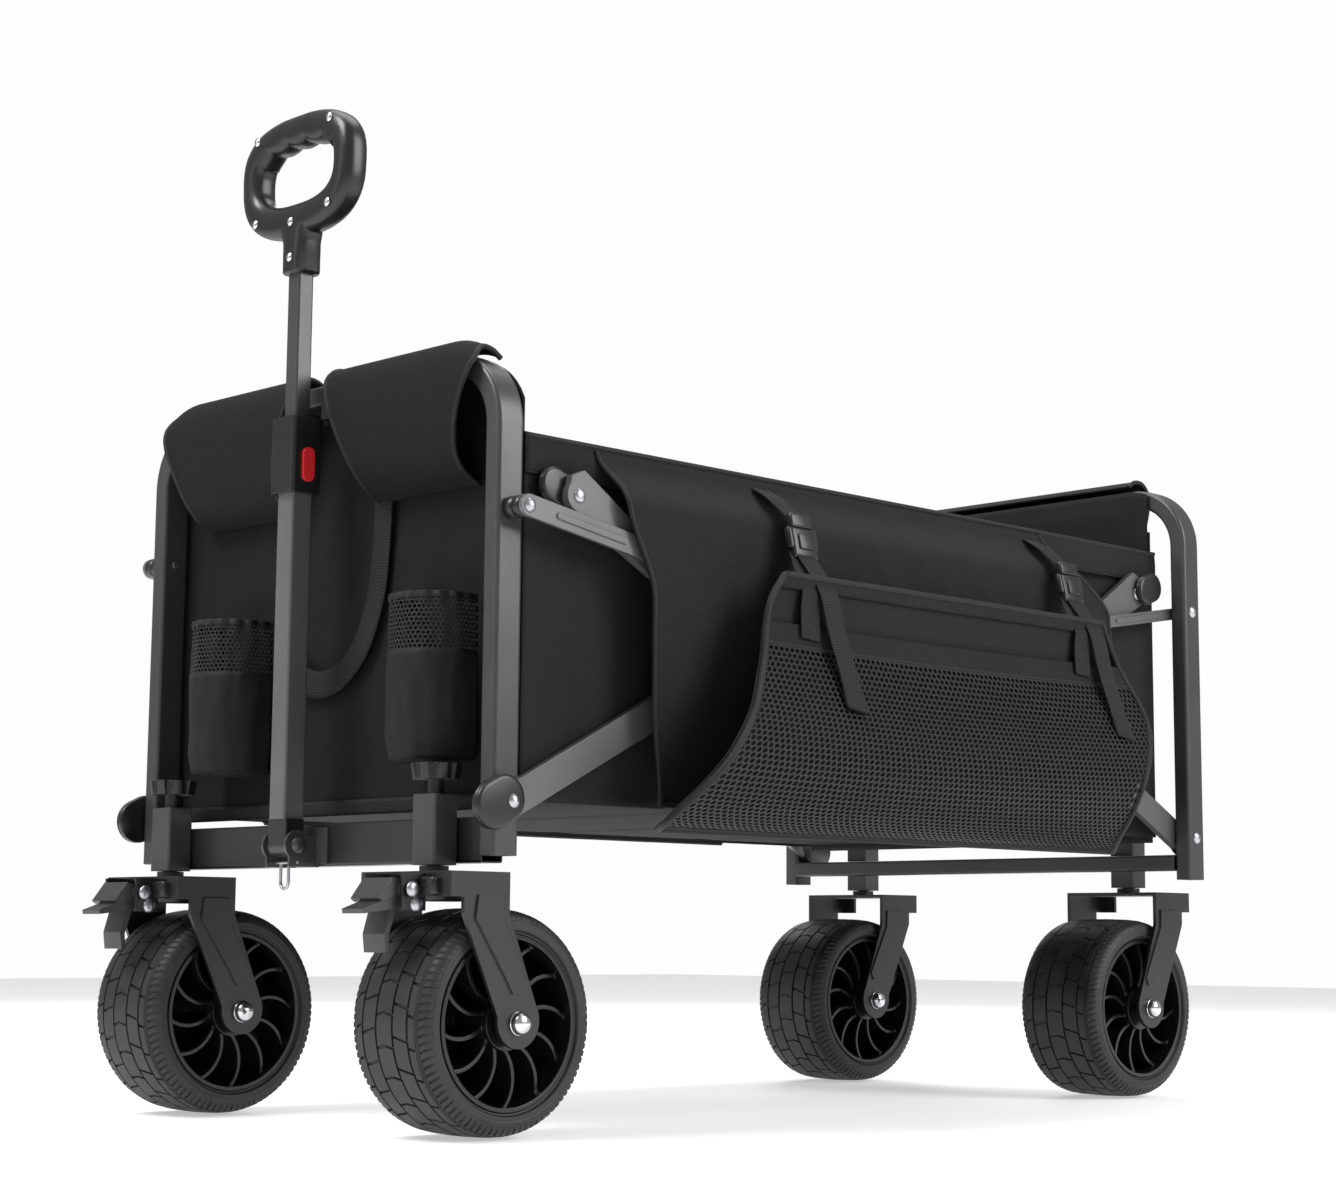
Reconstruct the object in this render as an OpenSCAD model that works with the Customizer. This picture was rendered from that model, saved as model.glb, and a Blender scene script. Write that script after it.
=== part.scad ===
// Folding camp wagon: two end frames joined by a double scissor on each side, a fabric body hung
// between them, four wide swivelling wheels and a telescopic pull handle.
// X runs from the handle end (-X) to the rear, Y across, Z up. The origin is the middle of the cargo
// floor's top face. Heights in this file are above the ground, and lowered() brings every piece
// down so that the cargo floor lies at zero. Millimetres.

/* [End frames] */
// Distance between the upright centre lines of the two end frames, wagon open
frame_l = 1005; // [880:1:1200]
// Overall width of the front end frame, which folds inside the rear one
front_w = 538; // [470:1:640]
// Width of the frame tube, seen from the front
tube_w = 20; // [16:1:26]
// Depth of the frame tube, front to back
tube_d = 30; // [24:1:38]
// Wall of every steel tube
tube_t = 1.5; // [1:0.1:2]
// Edge radius of the frame tube
tube_r = 4; // [2:0.5:5]
// Height of the top of both end frames
frame_top = 696; // [620:1:800]
// Outer radius of the bends at the frame's top corners
bend_r = 70; // [50:1:100]
// Height of the open lower ends of the uprights
foot_z = 244; // [242:1:252]

/* [Lower bars and posts] */
// Height of the front crossbar section
cross_h = 40; // [34:1:44]
// Depth of the front crossbar section
cross_d = 25; // [20:1:30]
// Height of the rear crossbar section
rear_bar_h = 18; // [14:1:24]
// Depth of the rear crossbar section
rear_bar_d = 20; // [16:1:24]
// Half distance between the caster posts
post_y = 203; // [185:1:212]
// Width of a caster post
post_w = 31; // [26:1:36]
// Depth of a caster post
post_d = 28; // [24:1:34]
// Height of a caster post
post_h = 62; // [56:1:72]
// Height of the underside of the posts
post_z = 236; // [234:1:242]

/* [Side braces] */
// Thickness of a brace bar
brace_t = 8; // [6:0.5:10]
// Width of a brace bar
brace_w = 29; // [24:1:34]
// Side clearance between two brace layers and between a brace and a frame
brace_gap = 1.4; // [1:0.1:2]
// Slope of the braces, wagon open, in degrees
brace_angle = 27; // [24:0.5:31]
// Height of the lower brace pivots on the uprights
low_pivot_z = 291; // [280:1:310]
// Height of the capped upper brace ends, wagon open
cap_z = 566; // [545:1:590]
// Distance from the upright centre line to the capped upper brace end
cap_in = 65; // [50:1:90]
// Height of the link pivots on the uprights
link_z = 549; // [530:1:575]
// Distance from the upright centre line to the link's far end
link_in = 145; // [120:1:165]
// Width of a link
link_w = 20; // [16:1:24]
// Width of a rear link
rear_link_w = 13; // [13:0.5:14]
// Thickness of a link
link_t = 4; // [3:0.5:5]
// Diameter of the brace pivot pins
pin_d = 8; // [6:0.5:10]
// Diameter of the rivet heads
rivet_d = 14; // [12:0.5:18]
// Radial clearance of a pivot pin in its hole
pin_fit = 0.06; // [0.02:0.01:0.1]

/* [Wheels and casters] */
// Outer diameter of a tyre
wheel_d = 200; // [180:1:206]
// Width of a tyre
wheel_w = 105; // [80:1:110]
// Diameter of the rim opening inside the tyre
rim_d = 150; // [130:1:156]
// Number of spokes in a rim
spokes = 12; // [8:1:16]
// Diameter of the axle
axle_d = 12; // [10:0.5:14]
// Distance of the axle behind the swivel stem
trail = 47; // [40:1:55]
// Height of the fork's top face
fork_top = 230; // [228:1:232]
// Thickness of the fork plates
fork_t = 4; // [3:0.5:5]
// Clearance between the tyre's side and the fork arm
fork_gap = 5; // [3:0.5:8]
// Width of a fork arm at its top
arm_w = 52; // [44:1:58]
// Radius of a fork arm's lower end
arm_r = 24; // [20:1:28]
// Diameter of the swivel stem
stem_d = 14; // [12:0.5:16]
// Diameter of the stem's collar under the post
stem_collar_d = 26; // [20:1:26]

/* [Handle] */
// Outside size of the square outer handle tube
outer_tube = 24; // [22:1:28]
// Outside size of the square inner handle tube
inner_tube = 18; // [16:1:20]
// Height of the hinge pin of the handle
hinge_z = 257; // [252:1:262]
// Height of the lower end of the outer handle tube
handle_low = 281; // [278:1:290]
// Height of the top of the collar
collar_top = 661; // [600:1:680]
// Height of the collar
collar_h = 73; // [60:1:90]
// Height of the lower edge of the grip's neck
neck_z = 802; // [780:1:900]
// Width of the grip across the handle
grip_w = 172; // [140:1:190]
// Height of the grip's ring
grip_h = 120; // [100:1:140]
// Thickness of the grip, front to back
grip_t = 30; // [24:1:34]
// Length of inner tube that stays inside the outer tube, handle as shown
tube_overlap = 235; // [180:1:260]

/* [Fabric] */
// Thickness of a fabric wall
cloth_t = 2.5; // [2:0.5:4]
// Height of the top of the floor mat
floor_z = 306; // [300:1:330]
// Thickness of the padded floor mat
mat_t = 14; // [8:1:20]
// Height of the top edge of the side walls
side_top = 616; // [590:1:640]
// Height of the lower edge of the side covers
cover_low = 292; // [280:1:330]
// Half length of the side covers
cover_half = 372; // [300:1:400]
// Outward reach of the sling pocket from the centre line
sling_reach = 404; // [390:1:450]
// Half length of the sling pocket
sling_half = 361; // [280:1:380]
// Shift of the sling pocket's middle toward the front
sling_shift = 18; // [0:1:40]
// Height of the sling pocket's top edge
sling_top = 512; // [490:1:520]
// Lowest point of the sling pocket
sling_low = 271; // [250:1:290]
// Height of the bottle pockets' top edge
pocket_top = 478; // [460:1:500]
// Height of the bottle pockets' bottom
pocket_low = 331; // [328:1:350]
// Distance of the left bottle pocket from the middle
pocket_left_y = 166; // [150:1:170]
// Distance of the right bottle pocket from the middle
pocket_right_y = 143; // [140:1:170]
// Width of a bottle pocket
pocket_w = 86; // [80:1:90]
// Depth of a bottle pocket in front of the front wall
pocket_d = 60; // [56:1:80]
// Width of the sling pocket's straps
strap_w = 26; // [20:1:38]

/* [Hidden] */
eps = 0.01;
// Upright centre lines, and the two brace layers between front and rear frames
front_x = -frame_l/2;
rear_x = frame_l/2;
layer_in = front_w/2 + brace_gap;
layer_out = layer_in + brace_t + brace_gap;
rear_in = layer_out + brace_t + brace_gap;
rear_w = 2*(rear_in + tube_w);
// Link layer outside the outer brace layer
link_y = rear_in + 1;
// Scissor lengths: long arm from a lower pivot to a crossing, short arm from there to the middle
half_span = frame_l/2;
bar_len = half_span/cos(brace_angle);
mid_low_z = cap_z - (half_span - cap_in)*tan(brace_angle);
arm_diff = (mid_low_z - low_pivot_z)/sin(brace_angle);
long_arm = (bar_len + arm_diff)/2;
short_arm = (bar_len - arm_diff)/2;
cross_x = half_span - long_arm*cos(brace_angle);
cross_z = low_pivot_z + long_arm*sin(brace_angle);
mid_top_z = low_pivot_z + bar_len*sin(brace_angle);
cap_arm = (cross_x > 0) ? (half_span - cap_in - cross_x)/cos(brace_angle) : 0;
link_end_z = cap_z - (link_in - cap_in)*tan(brace_angle);
link_len = sqrt(pow(link_in, 2) + pow(link_z - link_end_z, 2));
link_slope = atan2(link_end_z - link_z, link_in);
head_t = 3;
// Lower bars and posts
front_bar_x = front_x + 1.5;
front_bar_z = 258;
front_post_x = front_bar_x - cross_d/2 - post_d/2;
rear_bar_x = rear_x - 7.5;
rear_bar_z = 263;
rear_post_x = rear_bar_x + rear_bar_d/2 + post_d/2;
// Casters
wheel_r = wheel_d/2;
fork_in = wheel_w/2 + fork_gap;
fork_out = fork_in + fork_t;
stem_fit = 0.06;
stem_top = 44;
knob_z = post_z + post_h;
// Handle
handle_x = front_x - 36;
handle_pin_d = 8;
grip_z = neck_z + 98;
collar_w = 36;
collar_d = 34;
button_w = 13;
button_h = 33;
button_z = collar_top - 46;
bail_z = hinge_z - 16;
bail_wire = 3;
// Fabric
wall_x = front_x + tube_d/2 + 3;
rear_wall_x = rear_bar_x - rear_bar_d/2 - 1 - cloth_t;
wall_y = front_w/2 - 6;
cover_y = link_y + link_t + 4.5;
sling_y = cover_y + cloth_t + 44;

// ---- Shared shapes ----

// Brings a piece down from heights above the ground to heights above the cargo floor
module lowered() {
    translate([0, 0, -floor_z]) children();
}

// Rounded rectangle with true arcs
module rrect(w, d, r) {
    square([w - 2*r, d], center = true);
    square([w, d - 2*r], center = true);
    for (x = [-1, 1], y = [-1, 1])
        translate([x*(w/2 - r), y*(d/2 - r)]) circle(r = r, $fn = 48);
}

// Section of a rectangular tube
module tube_section(w, d, r, t) {
    difference() {
        rrect(w, d, r);
        rrect(w - 2*t, d - 2*t, max(r - t, 0.6));
    }
}

// Drawn in the YZ plane, extruded along +X
module along_x(h) {
    rotate([90, 0, 90]) linear_extrude(h) children();
}

// Drawn in the XZ plane, extruded along +Y and centred on y
module across_y(h, y = 0) {
    translate([0, y + h/2, 0]) rotate([90, 0, 0]) linear_extrude(h) children();
}

// Plain pin along Y, centred on y
module pin_y(d, h, y = 0) {
    translate([0, y, 0]) rotate([90, 0, 0]) cylinder(d = d, h = h, center = true, $fn = 48);
}

// Domed rivet head whose flat side lies at y = 0 and whose crown points to +Y
module rivet_head(d = rivet_d, t = head_t) {
    rotate([-90, 0, 0]) rotate_extrude($fn = 48)
        intersection() {
            square([d/2, t]);
            translate([0, t - d*0.62]) circle(r = d*0.62, $fn = 64);
        }
}

// One side's parts are drawn on +Y; side -1 mirrors them onto -Y
module on_side(side) {
    if (side > 0) children();
    else mirror([0, 1, 0]) children();
}

// ---- End frames ----

// An upside-down U of rectangular tube with its uprights' centre lines in the plane x = 0
module u_frame(width) {
    up_y = width/2 - tube_w/2;
    bend_z = frame_top - bend_r;
    for (s = [-1, 1]) on_side(s) {
        translate([0, up_y, foot_z]) linear_extrude(bend_z - foot_z)
            tube_section(tube_d, tube_w, tube_r, tube_t);
        translate([0, width/2 - bend_r, bend_z]) rotate([90, 0, 90])
            rotate_extrude(angle = 90, $fn = 96) translate([bend_r - tube_w/2, 0])
                tube_section(tube_w, tube_d, tube_r, tube_t);
    }
    translate([0, width/2 - bend_r, frame_top - tube_w/2]) rotate([90, 0, 0])
        linear_extrude(width - 2*bend_r) tube_section(tube_d, tube_w, tube_r, tube_t);
}

// A level tube between the uprights
module level_bar(length, h, d) {
    translate([0, length/2, 0]) rotate([90, 0, 0]) linear_extrude(length)
        tube_section(d, h, 2.5, tube_t);
}

module upright_pin_holes(width, up_z) {
    up_y = width/2 - tube_w/2;
    for (s = [-1, 1], z = [low_pivot_z, up_z])
        translate([0, s*up_y, z]) pin_y(pin_d, tube_w + 4);
}

module front_frame() {
    color("#3a3b3d") translate([front_x, 0, 0]) difference() {
        u_frame(front_w);
        upright_pin_holes(front_w, link_z);
    }
}

module rear_frame() {
    color("#3a3b3d") translate([rear_x, 0, 0]) difference() {
        u_frame(rear_w);
        upright_pin_holes(rear_w, link_z);
    }
}

module front_crossbar() {
    color("#3a3b3d") translate([front_bar_x, 0, front_bar_z])
        level_bar(front_w - 2*tube_w, cross_h, cross_d);
}

module rear_bar() {
    color("#3a3b3d") translate([rear_bar_x, 0, rear_bar_z])
        level_bar(rear_w - 2*tube_w, rear_bar_h, rear_bar_d);
}

// Square posts that carry the swivel stems, bored from below
module caster_posts() {
    for (s = [-1, 1]) translate([0, s*post_y, post_z]) difference() {
        linear_extrude(post_h) rrect(post_d, post_w, 3);
        translate([0, 0, -1]) cylinder(d = stem_d + 2*stem_fit, h = stem_top + 3, $fn = 64);
    }
}

module front_posts() {
    color("#2e2f31") translate([front_post_x, 0, 0]) difference() {
        caster_posts();
        for (s = [-1, 1]) translate([0, s*post_y, knob_z - 12])
            cylinder(d = 10, h = 14, $fn = 48);
    }
}

module rear_posts() {
    color("#2e2f31") translate([rear_post_x, 0, 0]) caster_posts();
}

// Fluted knob on a short shank that turns in the top of a front post
module post_knob(side) {
    knob_d = 46;
    color("#222324") translate([front_post_x, side*post_y, knob_z]) {
        translate([0, 0, -10]) cylinder(d = 9.8, h = 11, $fn = 48);
        translate([0, 0, 0.4]) cylinder(d = 15, h = 13, $fn = 48);
        translate([0, 0, 13]) difference() {
            cylinder(d1 = knob_d - 4, d2 = knob_d, h = 14, $fn = 64);
            for (i = [0:7]) rotate(45*i) translate([knob_d/2 + 2, 0, -1])
                cylinder(d = 11, h = 16, $fn = 32);
        }
    }
}

// Pins and rivets that are fixed in the front uprights: brace pivots below, link pivots above
module front_rivets() {
    color("#b9bbbe") for (s = [-1, 1]) on_side(s) {
        low_out = layer_in + brace_t + brace_gap/2;
        translate([front_x, 0, low_pivot_z]) {
            pin_y(pin_d - pin_fit, low_out - front_w/2 + tube_w + 1, (low_out + front_w/2 - tube_w - 1)/2);
            translate([0, low_out, 0]) rivet_head();
        }
        link_out = link_y + link_t + 0.5;
        translate([front_x, 0, link_z]) {
            pin_y(pin_d - pin_fit, link_out - front_w/2 + tube_w + 1, (link_out + front_w/2 - tube_w - 1)/2);
            translate([0, link_out, 0]) rivet_head();
            difference() {
                pin_y(18, link_y - front_w/2 - 0.6, (link_y + front_w/2)/2 - 0.1);
                pin_y(pin_d, 60, front_w/2);
            }
        }
    }
}

// Pins fixed in the rear uprights, whose heads lie on the outside
module rear_rivets() {
    color("#b9bbbe") for (s = [-1, 1]) on_side(s) for (z = [low_pivot_z, link_z])
        translate([rear_x, 0, z]) {
            in_end = layer_out - 0.5;
            pin_y(pin_d - pin_fit, rear_w/2 - in_end, (rear_w/2 + in_end)/2);
            translate([0, rear_w/2, 0]) rivet_head();
        }
}

// ---- Side braces ----

// A flat bar from its first pivot at the origin, along +X at zero slope, with round ends
module bar_outline(len, w) {
    translate([0, -w/2]) square([len, w]);
    for (x = [0, len]) translate([x, 0]) circle(d = w, $fn = 64);
}

// Bar with clearance holes at the listed distances, lying in one layer
module brace_bar(len, holes, y0, slope) {
    rotate([0, -slope, 0]) difference() {
        across_y(brace_t, y0 + brace_t/2) bar_outline(len, brace_w);
        for (x = holes) translate([x, 0, 0]) pin_y(pin_d + pin_fit, brace_t + 4, y0 + brace_t/2);
    }
}

// Pin of a brace crossing or middle joint, fixed in the inner bar and headed on both sides
module brace_pin(len, slope, y_in) {
    rotate([0, -slope, 0]) translate([len, 0, 0]) {
        pin_y(pin_d + pin_fit, brace_t, y_in + brace_t/2);
        pin_y(pin_d - pin_fit, brace_t + 1.2*brace_gap, y_in + brace_t*1.5 + 0.6*brace_gap - 0.01);
    }
}

// Rising bar: lower front pivot on the front upright to the middle of the side, inner layer
module front_rising_brace(side) {
    color("#57595c") on_side(side) translate([front_x, 0, low_pivot_z]) {
        brace_bar(bar_len, [0], layer_in, brace_angle);
        for (d = [long_arm, bar_len]) brace_pin(d, brace_angle, layer_in);
    }
}

// Falling bar: capped upper front end down to the lower middle joint, outer layer
module front_falling_brace(side) {
    len = cap_arm + short_arm;
    color("#57595c") on_side(side) translate([front_x + cap_in, 0, cap_z])
        difference() {
            union() {
                brace_bar(len, [cap_arm, len], layer_out, -brace_angle);
                gusset(layer_out, 1);
            }
            pin_y(pin_d + pin_fit, 60, layer_out);
        }
}

// Rising bar: lower middle joint up to the capped rear end, inner layer
module rear_rising_brace(side) {
    len = cap_arm + short_arm;
    color("#57595c") on_side(side) translate([0, 0, mid_low_z]) difference() {
        union() {
            brace_bar(len, [], layer_in, brace_angle);
            for (d = [0, short_arm]) brace_pin(d, brace_angle, layer_in);
            translate([rear_x - cap_in, 0, cap_z - mid_low_z]) gusset(layer_in, -1);
        }
        translate([rear_x - cap_in, 0, cap_z - mid_low_z]) pin_y(pin_d + pin_fit, 60, layer_in);
    }
}

// Falling bar: upper middle joint down to the lower pivot on the rear upright, outer layer
module rear_falling_brace(side) {
    color("#57595c") on_side(side) translate([0, 0, mid_top_z])
        brace_bar(bar_len, [0, bar_len - long_arm, bar_len], layer_out, -brace_angle);
}

// Tapered plate at a capped upper end, its slanting top edge running toward the middle
module gusset(y0, dir) {
    across_y(brace_t, y0 + brace_t/2)
        polygon([[-dir*13, 3], [-dir*9, 18], [dir*6, 24], [dir*78, -22], [dir*60, -34], [-dir*6, -9]]);
}

// Pressed link with a raised rib, from an upright pivot to a brace. Its far end carries a stud that
// reaches the brace's face at bar_y. The rear one is narrower, to pass the frame's bend when folded.
module side_link(y0, bar_y, w = link_w) {
    difference() {
        union() {
            across_y(link_t, y0 + link_t/2) bar_outline(link_len, w);
            across_y(1.6, y0 + link_t + 0.79) translate([link_len*0.24, 0]) bar_outline(link_len*0.56, 6);
            translate([link_len, 0, 0]) pin_y(rivet_d, y0 - bar_y - 0.3 + eps, (y0 + bar_y + 0.3)/2);
            translate([link_len, y0 + link_t - eps, 0]) rivet_head(rivet_d, 2);
        }
        pin_y(pin_d + pin_fit, 30, y0);
    }
}

module front_link(side) {
    color("#6a6c6f") on_side(side) translate([front_x, 0, link_z]) rotate([0, -link_slope, 0])
        side_link(link_y, layer_out + brace_t);
}

module rear_link(side) {
    color("#6a6c6f") on_side(side) translate([rear_x, 0, link_z]) mirror([1, 0, 0])
        rotate([0, -link_slope, 0])
        side_link(layer_out + brace_t - link_t - 1, layer_in + brace_t, rear_link_w);
}

// ---- Casters ----

// Fork with its stem on the Z axis and the wheel behind it, at +X
module fork() {
    plate_x0 = -32;
    plate_x1 = arm_w - 17;
    arm_x0 = -17;
    axle_z = wheel_r;
    arm_top = fork_top;
    flange = 22;
    // Top plate with turned-down front and rear flanges
    difference() {
        translate([plate_x0, -fork_out, fork_top - fork_t]) cube([plate_x1 - plate_x0, 2*fork_out, fork_t]);
        translate([0, 0, fork_top - fork_t - 1]) cylinder(d = stem_d, h = fork_t + 2, $fn = 48);
    }
    for (s = [-1, 1]) on_side(s)
        translate([plate_x0, fork_in - 18, fork_top - flange]) cube([fork_t, 18 + fork_t, flange - fork_t]);
    // Two arms that lean back to the axle
    for (s = [-1, 1]) on_side(s) difference() {
        union() {
            across_y(fork_t, fork_in + fork_t/2) union() {
                polygon([[arm_x0, arm_top - fork_t], [arm_x0, arm_top - 36], [trail - arm_r, axle_z + 6],
                    [trail + arm_r, axle_z + 6], [plate_x1, arm_top - 36], [plate_x1, arm_top - fork_t]]);
                translate([trail, axle_z + 2]) circle(r = arm_r, $fn = 64);
            }
            translate([plate_x0 + fork_t, fork_in, fork_top - flange])
                cube([arm_x0 - plate_x0, fork_t, flange - fork_t]);
            // Raised panel pressed out of the arm
            across_y(2, fork_out + 0.99) polygon([[arm_x0 + 15, arm_top - 20], [arm_x0 + 12, arm_top - 40],
                [trail - 16, axle_z + 38], [trail - 8, axle_z + 25], [trail + 6, axle_z + 25],
                [trail + 11, axle_z + 34], [plate_x1 - 7, arm_top - 40], [plate_x1 - 8, arm_top - 20]]);
        }
        translate([trail, 0, axle_z]) pin_y(axle_d, 40, fork_out);
    }
    // Swivel stem and its collar
    cylinder_z(stem_d, fork_top - fork_t, post_z + stem_top);
    cylinder_z(stem_collar_d, fork_top, post_z - 0.6);
    // Axle with a domed nut at each end
    translate([trail, 0, axle_z]) {
        pin_y(axle_d - pin_fit, 2*fork_out + 2);
        for (s = [-1, 1]) on_side(s) {
            translate([0, fork_in - 1.2, 0]) pin_y(axle_d + 8, 1.8);
            translate([0, fork_out + 0.3, 0]) rivet_head(20, 8);
        }
    }
}

module cylinder_z(d, z0, z1) {
    translate([0, 0, z0]) cylinder(d = d, h = z1 - z0, $fn = 64);
}

// Brake hardware that a front fork carries: cheeks and a cross pin in front of the stem
module brake_cheeks() {
    for (s = [-1, 1]) on_side(s) difference() {
        translate([-57, 24, 196]) cube([26, 3, 32]);
        translate([-49, 20, 214]) pin_y(7, 20);
    }
    translate([-49, 0, 214]) pin_y(7 - pin_fit, 62);
}

module front_fork(side) {
    color("#2c2d2f") translate([front_post_x, side*post_y, 0]) {
        fork();
        brake_cheeks();
    }
}

// The rear fork faces the other way, its wheel in front of the stem
module rear_fork(side) {
    color("#2c2d2f") translate([rear_post_x, side*post_y, 0]) mirror([1, 0, 0]) fork();
}

// Foot pedal: a wide tread above, a lever below it and a curved shoe that meets the tyre
module brake_pedal(side) {
    color("#1f2022") translate([front_post_x, side*post_y, 0]) difference() {
        union() {
            across_y(40, 0) polygon([[-45, 221], [-62, 224], [-76, 206], [-72, 203], [-58, 208], [-44, 206]]);
            across_y(30, -4) polygon([[-44, 207], [-58, 209], [-92, 197], [-91, 193], [-60, 197], [-46, 203]]);
            across_y(30, 6) polygon([[-44, 207], [-52, 207], [-61, 176], [-59, 160], [-55, 160], [-56, 175], [-46, 203]]);
            translate([-49, 0, 214]) pin_y(14, 44);
        }
        translate([-49, 0, 214]) pin_y(7 + pin_fit, 70);
    }
}

// Tyre: a wide band with round shoulders and four grooves round it
module tyre_shape() {
    grooves = [-30, -11, 11, 30];
    shoulder = 11;
    translate([trail, 0, wheel_r]) rotate([90, 0, 0]) rotate_extrude($fn = 128) difference() {
        union() {
            translate([rim_d/2 + 2, -wheel_w/2]) square([wheel_r - rim_d/2 - 2 - shoulder, wheel_w]);
            translate([rim_d/2 + 2, -wheel_w/2 + shoulder])
                square([wheel_r - rim_d/2 - 2, wheel_w - 2*shoulder]);
            for (s = [-1, 1]) translate([wheel_r - shoulder, s*(wheel_w/2 - shoulder)])
                circle(r = shoulder, $fn = 48);
        }
        for (g = grooves) translate([wheel_r - 3, g - 1]) square([6, 2]);
    }
}

// Rim: an outer band that the tyre sits on, a hub and curved spokes
module rim_shape() {
    hub_r = 24;
    band = 4;
    seat_r = rim_d/2 + 1.7;
    translate([trail, 0, wheel_r]) rotate([90, 0, 0]) difference() {
        union() {
            translate([0, 0, -wheel_w/2 + 3]) difference() {
                cylinder(r = seat_r, h = wheel_w - 6, $fn = 128);
                translate([0, 0, -1]) cylinder(r = seat_r - band, h = wheel_w, $fn = 128);
            }
            cylinder(r = hub_r, h = wheel_w - 12, center = true, $fn = 64);
            for (i = [0:spokes - 1]) rotate(i*360/spokes) spoke(hub_r, seat_r - band);
            cylinder(r = seat_r - band + 0.5, h = 5, center = true, $fn = 96);
        }
        cylinder(d = axle_d + pin_fit, h = wheel_w, center = true, $fn = 64);
    }
}

// One curved spoke from the hub to the band: a slice of a ring
module spoke(r0, r1) {
    bow = (r1 - r0)*0.8;
    linear_extrude(wheel_w - 24, center = true) intersection() {
        translate([(r0 + r1)/2, -bow*0.62]) difference() {
            circle(r = bow, $fn = 64);
            circle(r = bow - 3.5, $fn = 64);
        }
        translate([r0 - 2, 0]) square([r1 - r0 + 4, bow]);
    }
}

module front_tyre(side) {
    color("#303134") translate([front_post_x, side*post_y, 0]) tyre_shape();
}

module rear_tyre(side) {
    color("#303134") translate([rear_post_x, side*post_y, 0]) mirror([1, 0, 0]) tyre_shape();
}

module front_rim(side) {
    color("#111214") translate([front_post_x, side*post_y, 0]) rim_shape();
}

module rear_rim(side) {
    color("#111214") translate([rear_post_x, side*post_y, 0]) mirror([1, 0, 0]) rim_shape();
}

// ---- Handle ----

// U bracket on the front of the crossbar with the hinge pin through its ears
module handle_bracket() {
    ear_y = outer_tube/2 + 4;
    back_x = front_bar_x - cross_d/2;
    color("#1c1d1f") difference() {
        union() {
            translate([back_x - 3, -34, 240]) cube([3, 68, 34]);
            for (s = [-1, 1]) on_side(s) {
                translate([handle_x - 9, ear_y, bail_z - 4]) cube([back_x - handle_x + 9, 3, 14 + hinge_z - bail_z]);
                translate([handle_x, ear_y + 1.5, hinge_z]) pin_y(28, 3);
            }
        }
        translate([handle_x, 0, hinge_z]) pin_y(handle_pin_d, 90);
        translate([handle_x, 0, bail_z]) pin_y(bail_wire + 0.16, 90);
    }
    translate([handle_x, 0, hinge_z]) {
        pin_y(handle_pin_d - pin_fit, 2*ear_y + 8);
        for (s = [-1, 1]) on_side(s) translate([0, ear_y + 3.3, 0]) rivet_head(15, 5);
    }
}

// Foot of the handle: turns on the hinge pin and carries the outer tube
module handle_foot() {
    color("#1c1d1f") translate([handle_x, 0, 0]) difference() {
        union() {
            translate([0, 0, hinge_z]) pin_y(22, outer_tube + 4);
            translate([0, 0, hinge_z]) linear_extrude(handle_low - hinge_z)
                rrect(outer_tube - 2, outer_tube + 4, 2);
            translate([0, 0, handle_low]) linear_extrude(18)
                rrect(outer_tube - 2*tube_t - 0.4, outer_tube - 2*tube_t - 0.4, 1.5);
        }
        translate([0, 0, hinge_z]) pin_y(handle_pin_d + pin_fit, 60);
    }
}

// Outer tube, slotted on one side for the release button
module handle_outer_tube() {
    color("#3f4042") difference() {
        translate([handle_x, 0, handle_low]) linear_extrude(collar_top - 12 - handle_low)
            tube_section(outer_tube, outer_tube, 3, tube_t);
        button_slot();
    }
}

// Passage of the release button through the collar and the outer tube
module button_slot() {
    translate([handle_x, -inner_tube/2, button_z]) rotate([90, 0, 0]) linear_extrude(collar_w)
        rrect(button_w + 0.6, button_h + 0.6, button_w/2 + 0.2);
}

// Moulded collar on top of the outer tube, with a slot for the release button
module handle_collar() {
    color("#3f4042") difference() {
        translate([handle_x, 0, collar_top - collar_h]) linear_extrude(collar_h)
            rrect(collar_d, collar_w, 4);
        translate([handle_x, 0, collar_top - collar_h - 1]) linear_extrude(collar_h - 11)
            rrect(outer_tube + 0.4, outer_tube + 0.4, 3);
        translate([handle_x, 0, collar_top - collar_h - 1]) linear_extrude(collar_h + 2)
            rrect(inner_tube + 0.6, inner_tube + 0.6, 3);
        button_slot();
    }
}

// Rounded push button in the collar's side
module release_button() {
    color("#c4202c") translate([handle_x, -outer_tube/2 - 0.6, button_z]) rotate([90, 0, 0])
        linear_extrude(8.4) rrect(button_w, button_h, button_w/2 - 0.1);
}

module handle_inner_tube() {
    color("#6d6f72") translate([handle_x, 0, collar_top - tube_overlap])
        linear_extrude(neck_z + 26 - collar_top + tube_overlap)
            tube_section(inner_tube, inner_tube, 2.5, tube_t);
}

// Ring grip with a neck, drawn from the front and given its thickness along X
module handle_grip() {
    ring_w = 28;
    color("#26272a") translate([handle_x - grip_t/2, 0, 0]) difference() {
        union() {
            along_x(grip_t) difference() {
                union() {
                    translate([0, grip_z]) rrect(grip_w, grip_h, 50);
                    polygon([[-20, neck_z], [20, neck_z], [22, neck_z + 32], [40, grip_z - grip_h/2 + 14],
                        [-40, grip_z - grip_h/2 + 14], [-22, neck_z + 32]]);
                }
                translate([0, grip_z + 2]) difference() {
                    rrect(grip_w - 2*ring_w, grip_h - 2*ring_w - 4, 26);
                    for (i = [-1.5:1.5]) translate([i*20, 32]) circle(d = 13, $fn = 32);
                }
            }
        }
        translate([grip_t/2, 0, neck_z - 1]) linear_extrude(27)
            rrect(inner_tube + 0.2, inner_tube + 0.2, 2.5);
    }
}

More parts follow.
